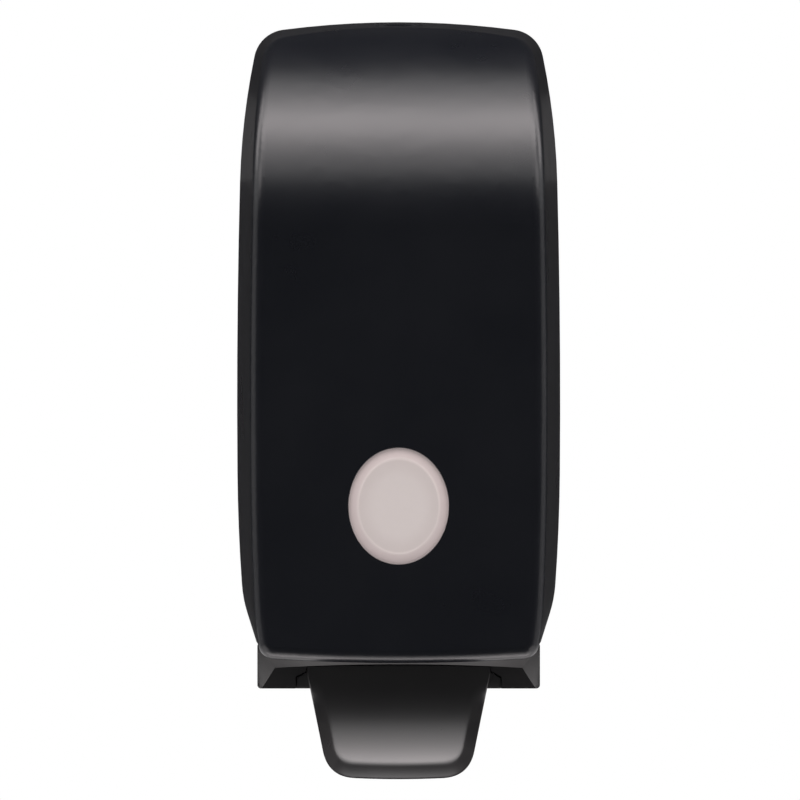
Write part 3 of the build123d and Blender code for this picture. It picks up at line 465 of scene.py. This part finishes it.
def upright(x, z, depth):
    """The place of a point on a slab that lies in line with the panel, in metres."""
    return x / 1000, -depth / 1000, z / 1000


def crosswise(depth, z, x):
    """The place of a point on a slab that stands across the panel, in metres."""
    return upright(x, z, depth)


mesh_maker = bmesh.new()
shells = []
for depth_at in (blade_front, blade_back):
    rings = []
    for step in ring_steps:
        points = blade_middle + (1 - step) * (outline - blade_middle)
        depths = depth_at(points)
        rings.append([mesh_maker.verts.new(upright(x, z, d)) for (x, z), d in zip(points, depths)])
    mesh_maker.faces.new(rings[-1])
    for outer, inner in zip(rings, rings[1:]):
        for i in range(outline_points):
            mesh_maker.faces.new((outer[i - 1], outer[i], inner[i], inner[i - 1]))
    shells.append(rings[0])
for i in range(outline_points):
    mesh_maker.faces.new((shells[0][i - 1], shells[0][i], shells[1][i], shells[1][i - 1]))
bmesh.ops.recalc_face_normals(mesh_maker, faces=mesh_maker.faces)
sharp_turn = math.radians(40)
broken_edge = 0.3
circle_points = 40


def slab(outline, low, high, place):
    """A flat slab of this outline between two levels, with its edges slightly broken."""
    levels = [[mesh_maker.verts.new(place(a, b, level)) for a, b in outline] for level in (low, high)]
    made = [mesh_maker.faces.new(levels[0]), mesh_maker.faces.new(levels[1])]
    for i in range(len(outline)):
        made.append(mesh_maker.faces.new((levels[0][i - 1], levels[0][i], levels[1][i], levels[1][i - 1])))
    bmesh.ops.recalc_face_normals(mesh_maker, faces=made)
    edges = dict.fromkeys(edge for face in made for edge in face.edges)
    bmesh.ops.bevel(
        mesh_maker,
        geom=[edge for edge in edges if edge.calc_face_angle() > sharp_turn],
        offset=broken_edge / 1000,
        segments=2,
        profile=0.5,
        affect="EDGES",
        clamp_overlap=True,
    )


def plate(half, low, high):
    """The outline of a plate that reaches as far on both sides of the middle."""
    return [(half, low), (half, high), (-half, high), (-half, low)]


def circle(middle, radius):
    """Points round a circle."""
    turns = [2 * math.pi * k / circle_points for k in range(circle_points)]
    return [(middle[0] + radius * math.cos(a), middle[1] + radius * math.sin(a)) for a in turns]


def hull(points):
    """The outline of the convex shape round these points."""
    return [points[i] for i in mathutils.geometry.convex_hull_2d(points)]


def both_sides(inner, outer):
    """The span between two distances from the middle, on the right and on the left."""
    return ((inner, outer), (-outer, -inner))


shaft_at = (90.5, -114.0)
elbow_at = (76.5, -118.6)
pump_at = (52.0, -118.6)
boss_radius = 4.0
boss_half = 36.8
arm_radius = 2.3
arm_span = (11.5, 16.5)
wing_right = [(36.5, -121.0), (36.5, -117.2), (32.65, -115.0)]
wing_depth = 97.0
backing_depth = 94.0
neck_depth = 95.5
stop_tab = [(82.0, -117.1), (91.0, -117.1), (91.0, -115.1), (82.0, -115.1)]
stop_tab_span = (33.6, 36.5)
slab(wing_right + [(-x, z) for x, z in reversed(wing_right)], shaft_at[0], wing_depth, upright)
slab(plate(37.2, -121.0, -114.4), shaft_at[0], backing_depth, upright)
slab(plate(32.35, -120.9, -113.6), shaft_at[0], neck_depth, upright)
slab(circle(shaft_at, boss_radius), -boss_half, boss_half, crosswise)
for low, high in both_sides(*arm_span):
    slab(hull(circle(shaft_at, boss_radius) + circle(elbow_at, arm_radius)), low, high, crosswise)
    slab(hull(circle(elbow_at, arm_radius) + circle(pump_at, arm_radius)), low, high, crosswise)
for low, high in both_sides(*stop_tab_span):
    slab(stop_tab, low, high, crosswise)
lever_mesh = bpy.data.meshes.new("dished_push_lever")
mesh_maker.to_mesh(lever_mesh)
mesh_maker.free()
lever_mesh.shade_smooth()
lever_mesh.set_sharp_from_angle(angle=sharp_turn)
lever_mesh.materials.append(black_base_painted_lighter)
lever = add_object("dished_push_lever", lever_mesh)
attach(lever, "lever")
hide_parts("push_lever")

# Cassette shelf: a slotted shelf that carries the cassette by its neck, screwed to the back plate.
# The same grained polypropylene as the back plate.
wear(grained_grey, "cassette_shelf")

# Lock keeper: the bent strip under which the cam of the lock turns, screwed to the back plate.
# Stamped and bent steel sheet, zinc plated.
wear(zinc_steel, "lock_keeper")

# Plate screws: two screws hold the shelf and two the keeper, with their heads towards the user.
# The same zinc-plated screws as in the base, but shorter.
heads_to_front = (math.pi / 2, 0.0, 0.0)
plate_screws = pan_head_screws(
    "plate_pan_head_screws",
    {**screw_sizes, "Shank length": 0.005, "Turn": heads_to_front},
    [(-0.03, -0.0065, -0.08), (0.03, -0.0065, -0.08), (-0.008, -0.006, 0.092), (0.008, -0.006, 0.092)],
)
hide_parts("plate_screws")

# Cassette bottle: holds the soap, neck down on the shelf.
# Blow-moulded natural polyethylene, milky, so that the level shows as a shadow through it.

# Natural polyethylene: a waxy, cloudy white that lets some light through, with soft waves from blow moulding.
natural_bottle, tree, place, show = new_finish("natural_polyethylene")
wave_mm = 18.0
wax_mm = 1.2
waves = add_node(tree, "ShaderNodeTexNoise", {"Vector": place, "Scale": 1 / wave_mm, "Detail": 2.0})
wax = add_node(tree, "ShaderNodeTexNoise", {"Vector": place, "Scale": 1 / wax_mm, "Detail": 2.0})
tint = add_node(
    tree,
    "ShaderNodeMix",
    {"Factor": waves.outputs["Fac"], "A": linear("#dedcd2"), "B": linear("#ebe9e1")},
    data_type="RGBA",
)
dull = add_node(
    tree,
    "ShaderNodeMapRange",
    {"Value": wax.outputs["Fac"], "From Min": 0.3, "From Max": 0.7, "To Min": 0.4, "To Max": 0.52},
)
relief = add_node(
    tree, "ShaderNodeBump", {"Height": waves.outputs["Fac"], "Strength": 0.3, "Distance": 0.0006}
)
show(
    add_node(
        tree,
        "ShaderNodeBsdfPrincipled",
        {
            "Base Color": tint.outputs["Result"],
            "Roughness": dull.outputs["Result"],
            "IOR": 1.54,
            "Subsurface Weight": 0.35,
            "Subsurface Radius": (1.0, 0.95, 0.85),
            "Subsurface Scale": 0.003,
            "Normal": relief.outputs["Normal"],
        },
    )
)
wear(natural_bottle, "cassette_bottle")

# Cassette cap: screwed on the neck, where it clamps the flange of the pump.
# White polypropylene, moulded with a ring of grip ribs.

# White polypropylene: clean and slightly glossy, with a faint variation in gloss.
white_moulding, tree, place, show = new_finish("white_polypropylene")
sheen_mm = 6.0
sheen = add_node(tree, "ShaderNodeTexNoise", {"Vector": place, "Scale": 1 / sheen_mm, "Detail": 3.0})
tint = add_node(
    tree,
    "ShaderNodeMix",
    {"Factor": sheen.outputs["Fac"], "A": linear("#e4e3de"), "B": linear("#efeeea")},
    data_type="RGBA",
)
satin = add_node(
    tree,
    "ShaderNodeMapRange",
    {"Value": sheen.outputs["Fac"], "From Min": 0.3, "From Max": 0.7, "To Min": 0.32, "To Max": 0.42},
)
show(
    add_node(
        tree,
        "ShaderNodeBsdfPrincipled",
        {"Base Color": tint.outputs["Result"], "Roughness": satin.outputs["Result"], "IOR": 1.49},
    )
)
wear(white_moulding, "cassette_cap")
pump_y = -0.052
cap_top_z = -0.087
cap_floor_z = -0.096
rib_sizes = {"Cap radius": 0.017, "Rib radius": 0.0005, "Rib length": 0.0068, "Ribs": 48.0}
tree = bpy.data.node_groups.new("cap_grip_ribs", "GeometryNodeTree")
given, names = input_sockets(tree, rib_sizes)
ring = add_node(tree, "GeometryNodeMeshCircle", {"Vertices": given["Ribs"], "Radius": given["Cap radius"]})
rib = add_node(
    tree,
    "GeometryNodeMeshCylinder",
    {"Vertices": 10, "Radius": given["Rib radius"], "Depth": given["Rib length"]},
)
ribs = add_node(
    tree, "GeometryNodeInstanceOnPoints", {"Points": ring.outputs["Mesh"], "Instance": rib.outputs["Mesh"]}
)
cap_middle = (0.0, pump_y, (cap_top_z + cap_floor_z) / 2)
around = add_node(
    tree, "GeometryNodeTransform", {"Geometry": ribs.outputs["Instances"], "Translation": cap_middle}
)
close_tree(tree, around.outputs["Geometry"], white_moulding)
cap_ribs = bake("cap_grip_ribs", tree, names, rib_sizes)
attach(cap_ribs, "chassis")

# Gasket and seals: the ring that the cap clamps and the seal round the piston, which keep the soap in.
# Moulded nitrile rubber, pressed into place.

# Nitrile rubber: black and dull, with a dusty bloom in patches.
nitrile, tree, place, show = new_finish("nitrile_rubber")
bloom_mm = 2.5
bloom = add_node(tree, "ShaderNodeTexNoise", {"Vector": place, "Scale": 1 / bloom_mm, "Detail": 4.0})
tint = add_node(
    tree,
    "ShaderNodeMix",
    {"Factor": bloom.outputs["Fac"], "A": linear("#161617"), "B": linear("#232324")},
    data_type="RGBA",
)
dull = add_node(
    tree,
    "ShaderNodeMapRange",
    {"Value": bloom.outputs["Fac"], "From Min": 0.3, "From Max": 0.7, "To Min": 0.62, "To Max": 0.8},
)
show(
    add_node(
        tree,
        "ShaderNodeBsdfPrincipled",
        {"Base Color": tint.outputs["Result"], "Roughness": dull.outputs["Result"], "IOR": 1.52},
    )
)
wear(nitrile, "cap_gasket", "piston_seal")

# Pump: the cylinder and guide inside the neck, and the stem with its flange and nozzle that the lever lifts.
# White polypropylene, moulded as round pieces and snapped together.
wear(white_moulding, "pump_cylinder", "stem_guide", "pump_stem", "nozzle")

# Valves: the inlet disc at the top of the cylinder and the duckbill in the nozzle.
# Clear silicone rubber, cast soft enough to flap.

# Clear silicone: a milky, half see-through rubber with a slightly greasy gloss.
silicone, tree, place, show = new_finish("clear_silicone")
haze_mm = 1.5
haze = add_node(tree, "ShaderNodeTexNoise", {"Vector": place, "Scale": 1 / haze_mm, "Detail": 3.0})
tint = add_node(
    tree,
    "ShaderNodeMix",
    {"Factor": haze.outputs["Fac"], "A": linear("#d6d5cf"), "B": linear("#e6e5e0")},
    data_type="RGBA",
)
greasy = add_node(
    tree,
    "ShaderNodeMapRange",
    {"Value": haze.outputs["Fac"], "From Min": 0.3, "From Max": 0.7, "To Min": 0.28, "To Max": 0.4},
)
show(
    add_node(
        tree,
        "ShaderNodeBsdfPrincipled",
        {
            "Base Color": tint.outputs["Result"],
            "Roughness": greasy.outputs["Result"],
            "IOR": 1.41,
            "Transmission Weight": 0.3,
        },
    )
)
wear(silicone, "inlet_valve", "nozzle_valve")

# Pump spring: pushes the stem and the lever back down, between the cap and the flange.
# Drawn spring wire, wound cold with a closed turn at each end, and zinc plated.
spring_turns = 6
closed_rise = 0.00105
spring_foot_z = -0.1132
spring_head_z = -0.0965
spring_sizes = {
    "Coil radius": 0.0105,
    "Wire radius": 0.0005,
    "Turns": float(spring_turns),
    "Foot share": 1 / spring_turns,
    "Head share": 1 - 1 / spring_turns,
    "Bottom": spring_foot_z,
    "Foot top": spring_foot_z + closed_rise,
    "Head foot": spring_head_z - closed_rise,
    "Top": spring_head_z,
    "Depth": pump_y,
}
tree = bpy.data.node_groups.new("wound_spring", "GeometryNodeTree")
given, names = input_sockets(tree, spring_sizes)
coil = add_node(
    tree,
    "GeometryNodeCurveSpiral",
    {
        "Resolution": 48,
        "Rotations": given["Turns"],
        "Start Radius": given["Coil radius"],
        "End Radius": given["Coil radius"],
        "Height": 0.0,
    },
)
along = add_node(tree, "GeometryNodeSplineParameter").outputs["Factor"]
foot = add_node(
    tree,
    "ShaderNodeMapRange",
    {"Value": along, "From Max": given["Foot share"], "To Min": given["Bottom"], "To Max": given["Foot top"]},
).outputs["Result"]
open_turns = add_node(
    tree,
    "ShaderNodeMapRange",
    {
        "Value": along,
        "From Min": given["Foot share"],
        "From Max": given["Head share"],
        "To Min": foot,
        "To Max": given["Head foot"],
    },
).outputs["Result"]
height = add_node(
    tree,
    "ShaderNodeMapRange",
    {"Value": along, "From Min": given["Head share"], "To Min": open_turns, "To Max": given["Top"]},
).outputs["Result"]
lift = add_node(tree, "ShaderNodeCombineXYZ", {"Y": given["Depth"], "Z": height})
wound = add_node(
    tree, "GeometryNodeSetPosition", {"Geometry": coil.outputs["Curve"], "Offset": lift.outputs["Vector"]}
)
round_wire = add_node(
    tree, "GeometryNodeCurvePrimitiveCircle", {"Resolution": 14, "Radius": given["Wire radius"]}
)
wire = add_node(
    tree,
    "GeometryNodeCurveToMesh",
    {"Curve": wound.outputs["Geometry"], "Profile Curve": round_wire.outputs["Curve"], "Fill Caps": True},
)
close_tree(tree, wire.outputs["Mesh"], zinc_steel)
spring = bake("wound_spring", tree, names, spring_sizes)
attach(spring, "chassis")
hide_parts("pump_spring")
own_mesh(spring)

# Front cover: the tall shell that drops open on the hinge pins, with barrel sides and a crown that curves
# back. Injection-moulded ABS, black in the mass.

# Satin black ABS: a deeper black with a trace of blue, with the satin of its mould and no polish from hands.
black_cover = black_abs("satin_black_abs", ("#0d0f14", "#101217"), (0.24, 0.34), 0.0)
wear(black_cover, "front_cover")

# Window: the oval through which the level of the cassette shows, with a bevelled rim.
# Moulded milky acrylic, held by its flange behind the wall of the cover.

# Milky acrylic: a slightly warm, faintly cloudy white, with tones painted in rings round its middle: a
# painted highlight where the face turns into its bevel, a darker, pinker bevel and a lighter outer edge.
milky_window, tree, place, show = new_finish("milky_acrylic")
milk_mm = 2.5
window_middle = (0.0, 0.0, -55.8)
rim_half = (17.9, 20.8)
milk = add_node(tree, "ShaderNodeTexNoise", {"Vector": place, "Scale": 1 / milk_mm, "Detail": 5.0})
centred = add_node(tree, "ShaderNodeVectorMath", {0: place, 1: window_middle}, operation="SUBTRACT")
oval = add_node(
    tree,
    "ShaderNodeVectorMath",
    {0: centred.outputs["Vector"], 1: (1 / rim_half[0], 0.0, 1 / rim_half[1])},
    operation="MULTIPLY",
)
reach = add_node(tree, "ShaderNodeVectorMath", {0: oval.outputs["Vector"]}, operation="LENGTH")
cloudy = add_node(
    tree,
    "ShaderNodeMix",
    {"Factor": milk.outputs["Fac"], "A": linear("#fbfbfa"), "B": linear("#ffffff")},
    data_type="RGBA",
)
# Rings of tone round the window's middle; the pale stop at 0.81 is a painted highlight on the turn into the
# bevel.
rings = add_node(tree, "ShaderNodeValToRGB", {"Fac": reach.outputs["Value"]})
stops = rings.color_ramp.elements
rings.color_ramp.interpolation = "EASE"
bevel_tones_with_painted_highlight = (
    (0.45, "#bab3b1"),
    (0.775, "#b4acaa"),
    (0.81, "#bfb6b4"),
    (0.86, "#b7acab"),
    (0.97, "#b3a7a6"),
    (1.0, "#c8bebd"),
)
# A new ramp has its first two stops already.
for k, (at, code) in enumerate(bevel_tones_with_painted_highlight):
    stop = stops[k] if k < 2 else stops.new(at)
    stop.position = at
    stop.color = linear(code)
tint = add_node(
    tree,
    "ShaderNodeMix",
    {0: 1.0, "A": rings.outputs["Color"], "B": cloudy.outputs["Result"]},
    data_type="RGBA",
    blend_type="MULTIPLY",
)
satin = add_node(tree, "ShaderNodeMapRange", {"Value": milk.outputs["Fac"], "To Min": 0.27, "To Max": 0.33})
show(
    add_node(
        tree,
        "ShaderNodeBsdfPrincipled",
        {"Base Color": tint.outputs["Result"], "Roughness": satin.outputs["Result"], "IOR": 1.49},
    )
)
wear(milky_window, "window_lens")

# Window retainer: the ring behind the window's flange, held by four stakes melted over from the cover.
# The same grained polypropylene as the back plate.
wear(grained_grey, "window_retainer")

# Lock: the sleeve in the top of the cover and the barrel that the key turns.
# Zinc die casting, polished and chromed, so it mirrors its surroundings.

# Chromed die casting: a clear mirror with faint wipe marks.
chrome, tree, place, show = new_finish("chromed_die_casting")
smear_mm = 4.0
smears = add_node(tree, "ShaderNodeTexNoise", {"Vector": place, "Scale": 1 / smear_mm, "Detail": 3.0})
wiped = add_node(
    tree,
    "ShaderNodeMapRange",
    {"Value": smears.outputs["Fac"], "From Min": 0.3, "From Max": 0.7, "To Min": 0.07, "To Max": 0.16},
)
tint = add_node(
    tree,
    "ShaderNodeMix",
    {"Factor": smears.outputs["Fac"], "A": linear("#d9dadd"), "B": linear("#e1e2e4")},
    data_type="RGBA",
)
show(
    add_node(
        tree,
        "ShaderNodeBsdfPrincipled",
        {"Base Color": tint.outputs["Result"], "Metallic": 1.0, "Roughness": wiped.outputs["Result"]},
    )
)
wear(chrome, "lock_escutcheon", "lock_barrel")

# Lock cam and nut: the cam that turns under the keeper, and the nut that holds it on the barrel's stud.
# Stamped and turned steel, zinc plated.
wear(zinc_steel, "lock_cam", "cam_nut")

# Studio: a pale floor far below, as the object hangs on a wall, and white surroundings. Strip softboxes
# hang in an arc overhead, with others at the sides, at the front corners and below. Cards that show only in
# reflections keep the black shell dark between the lights, and the visors over the lever show one side.
floor_z = -1.2
floor_half = 4.0


def front_only(tree, paper):
    """A shader that shows this paper on the front of a face and nothing on its back."""
    behind = add_node(tree, "ShaderNodeNewGeometry").outputs["Backfacing"]
    clear = add_node(tree, "ShaderNodeBsdfTransparent")
    return add_node(
        tree,
        "ShaderNodeMixShader",
        {"Fac": behind, 1: paper.outputs["BSDF"], 2: clear.outputs["BSDF"]},
    )


def paper_sheet(name, corners, finish):
    """A flat sheet of paper between these four corners."""
    sheet = bpy.data.meshes.new(name)
    sheet.from_pydata(corners, [], [(0, 1, 2, 3)])
    sheet.materials.append(finish)
    return add_object(name, sheet)


floor_paper, tree, place, show = new_finish("pale_paper")
paper = add_node(tree, "ShaderNodeBsdfPrincipled", {"Base Color": linear("#f2f2f2"), "Roughness": 0.9})
show(front_only(tree, paper))
square = ((-1, -1), (1, -1), (1, 1), (-1, 1))
floor_corners = [(x * floor_half, y * floor_half, floor_z) for x, y in square]
floor = paper_sheet("studio_floor", floor_corners, floor_paper)
# Each card's shade, and how far it reaches in x, y and z.
cards = {
    "front_card": ("#050505", (-4.2, 4.2), (-2.0, -2.0), (-0.45, 1.25)),
    "front_card_low": ("#050505", (-2.9, 2.9), (-2.0, -2.0), (-1.2, -0.45)),
    "table_card": ("#050505", (-1.0, 1.0), (-2.0, -0.74), (-1.19, -1.19)),
    "rear_card_low": ("#202020", (-3.0, 3.0), (1.2, 1.2), (-0.35, 0.3)),
    "rear_card_middle": ("#303030", (-3.0, 3.0), (1.2, 1.2), (0.3, 1.2)),
    "rear_card_high": ("#050505", (-3.0, 3.0), (1.2, 1.2), (1.2, 4.6)),
}
for side, sign in (("left", -1), ("right", 1)):
    cards[side + "_card"] = ("#a8a8a8", (sign * 2.6, sign * 2.6), (-1.35, 1.2), (-1.0, 0.45))
    cards[side + "_lever_card"] = ("#050505", (sign * 0.3, sign * 0.3), (-0.6, -0.23), (-0.16, 0.12))
    cards[side + "_flank_card"] = ("#525252", (sign * 0.064, sign * 0.7), (0.08, 0.08), (0.062, 0.095))
    over_lever = tuple(sorted((sign * 0.0335, sign * 0.25)))
    cards[side + "_visor_card"] = ("#0c0c0c", over_lever, (-0.07, -0.3), (-0.1225, -0.1225))
for name, (shade, *spans) in cards.items():
    card_paper, tree, place, show = new_finish(name)
    paper = add_node(tree, "ShaderNodeBsdfDiffuse", {"Color": linear(shade)})
    show(front_only(tree, paper) if "visor" in name else paper)
    near, far = zip(*spans)
    across, up = [k for k in range(3) if near[k] != far[k]]
    corners = []
    for moved in ((), (across,), (across, up), (up,)):
        corners.append([far[k] if k in moved else near[k] for k in range(3)])
    card = paper_sheet(name, corners, card_paper)
    for ray in ("camera", "diffuse", "shadow", "transmission"):
        setattr(card, "visible_" + ray, False)
world = bpy.data.worlds.new("white_studio")
world.use_nodes = True
bpy.context.scene.world = world
tree = world.node_tree
tree.nodes.clear()
path = add_node(tree, "ShaderNodeLightPath").outputs
mirrored = add_node(
    tree, "ShaderNodeMath", {0: path["Is Camera Ray"], 1: path["Is Glossy Ray"]}, operation="MAXIMUM"
).outputs["Value"]
seen = add_node(
    tree, "ShaderNodeMath", {0: mirrored, 1: path["Is Transmission Ray"]}, operation="MAXIMUM"
).outputs["Value"]
fill_light = 0.75
strength = add_node(tree, "ShaderNodeMapRange", {"Value": seen, "To Min": fill_light, "To Max": 1.0})
glow = add_node(
    tree, "ShaderNodeBackground", {"Color": (1.0, 1.0, 1.0, 1.0), "Strength": strength.outputs["Result"]}
)
sky = add_node(tree, "ShaderNodeOutputWorld")
tree.links.new(glow.outputs["Background"], sky.inputs["Surface"])
bank_middle = (0.0, -0.1, 0.05)
bank_radius = 3.4
strip_size = (4.5, 0.475)
# The elevation of each strip in degrees, and its radiance.
strips = ((44, 0.62), (52, 1.32), (60, 2.65), (68, 5.0), (76, 6.0), (84, 3.1), (92, 1.3), (100, 0.35))
lamps = []
for elevation, radiance in strips:
    rise = math.radians(elevation)
    place = (
        bank_middle[0],
        bank_middle[1] - bank_radius * math.cos(rise),
        bank_middle[2] + bank_radius * math.sin(rise),
    )
    turned = (math.pi / 2 - rise, 0.0, 0.0)
    lamps.append(("strip_softbox_%d" % elevation, strip_size, place, turned, radiance))
reflector_size = (1.2, 0.28)
reflector_radiance = 2.5
place = (0.0, -0.11, -0.9)
turned = (math.pi, 0.0, 0.0)
lamps.append(("table_reflector", reflector_size, place, turned, reflector_radiance))
side_size = (1.9, 1.1)
side_radiance = 3.0
side_rise = math.radians(42)
side_reach = 2.9
side_y = 0.2
for name, side in (("left_softbox", -1), ("right_softbox", 1)):
    place = (
        side * side_reach * math.cos(side_rise),
        side_y,
        bank_middle[2] + side_reach * math.sin(side_rise),
    )
    turned = (0.0, side * (math.pi / 2 - side_rise), 0.0)
    lamps.append((name, side_size, place, turned, side_radiance))
corner_size = (1.3, 0.9)
corner_radiance = 1.8
corner_rise = math.radians(30)
corner_turn = math.radians(50)
corner_level = side_reach * math.cos(corner_rise)
for name, side in (("left_corner_softbox", -1), ("right_corner_softbox", 1)):
    place = (
        side * corner_level * math.sin(corner_turn),
        bank_middle[1] - corner_level * math.cos(corner_turn),
        bank_middle[2] + side_reach * math.sin(corner_rise),
    )
    turned = (math.pi / 2 - corner_rise, 0.0, side * corner_turn)
    lamps.append((name, corner_size, place, turned, corner_radiance))
lamp_tint = (1.0, 0.925, 0.93)
for name, size, place, turned, radiance in lamps:
    lamp = bpy.data.lights.new(name, "AREA")
    lamp.shape = "RECTANGLE"
    lamp.size, lamp.size_y = size
    lamp.energy = radiance * math.pi * size[0] * size[1]
    lamp.color = lamp_tint
    light = add_object(name, lamp)
    light.location = place
    light.rotation_euler = turned

# Camera: level and square to the front, and far away with a long lens, as the photograph shows almost no
# perspective. A pixel spans pixel_m at reference_y, inside the object, and the origin shows at middle_px.
photo_pixels = 800
pixel_m = 0.000359
middle_px = (398.66, 350.0)
sensor_mm = 36.0
focal_mm = 1400.0
reference_y = -0.04
camera = bpy.data.cameras.new("front_camera")
camera.sensor_width = sensor_mm
camera.lens = focal_mm
camera.clip_end = 100.0
viewpoint = add_object("front_camera", camera)
distance = pixel_m * photo_pixels * focal_mm / sensor_mm
viewpoint.location = (
    (photo_pixels / 2 - middle_px[0]) * pixel_m,
    reference_y - distance,
    (middle_px[1] - photo_pixels / 2) * pixel_m,
)
viewpoint.rotation_euler = (math.pi / 2, 0, 0)
bpy.context.scene.camera = viewpoint
bpy.context.scene.view_settings.view_transform = "Standard"
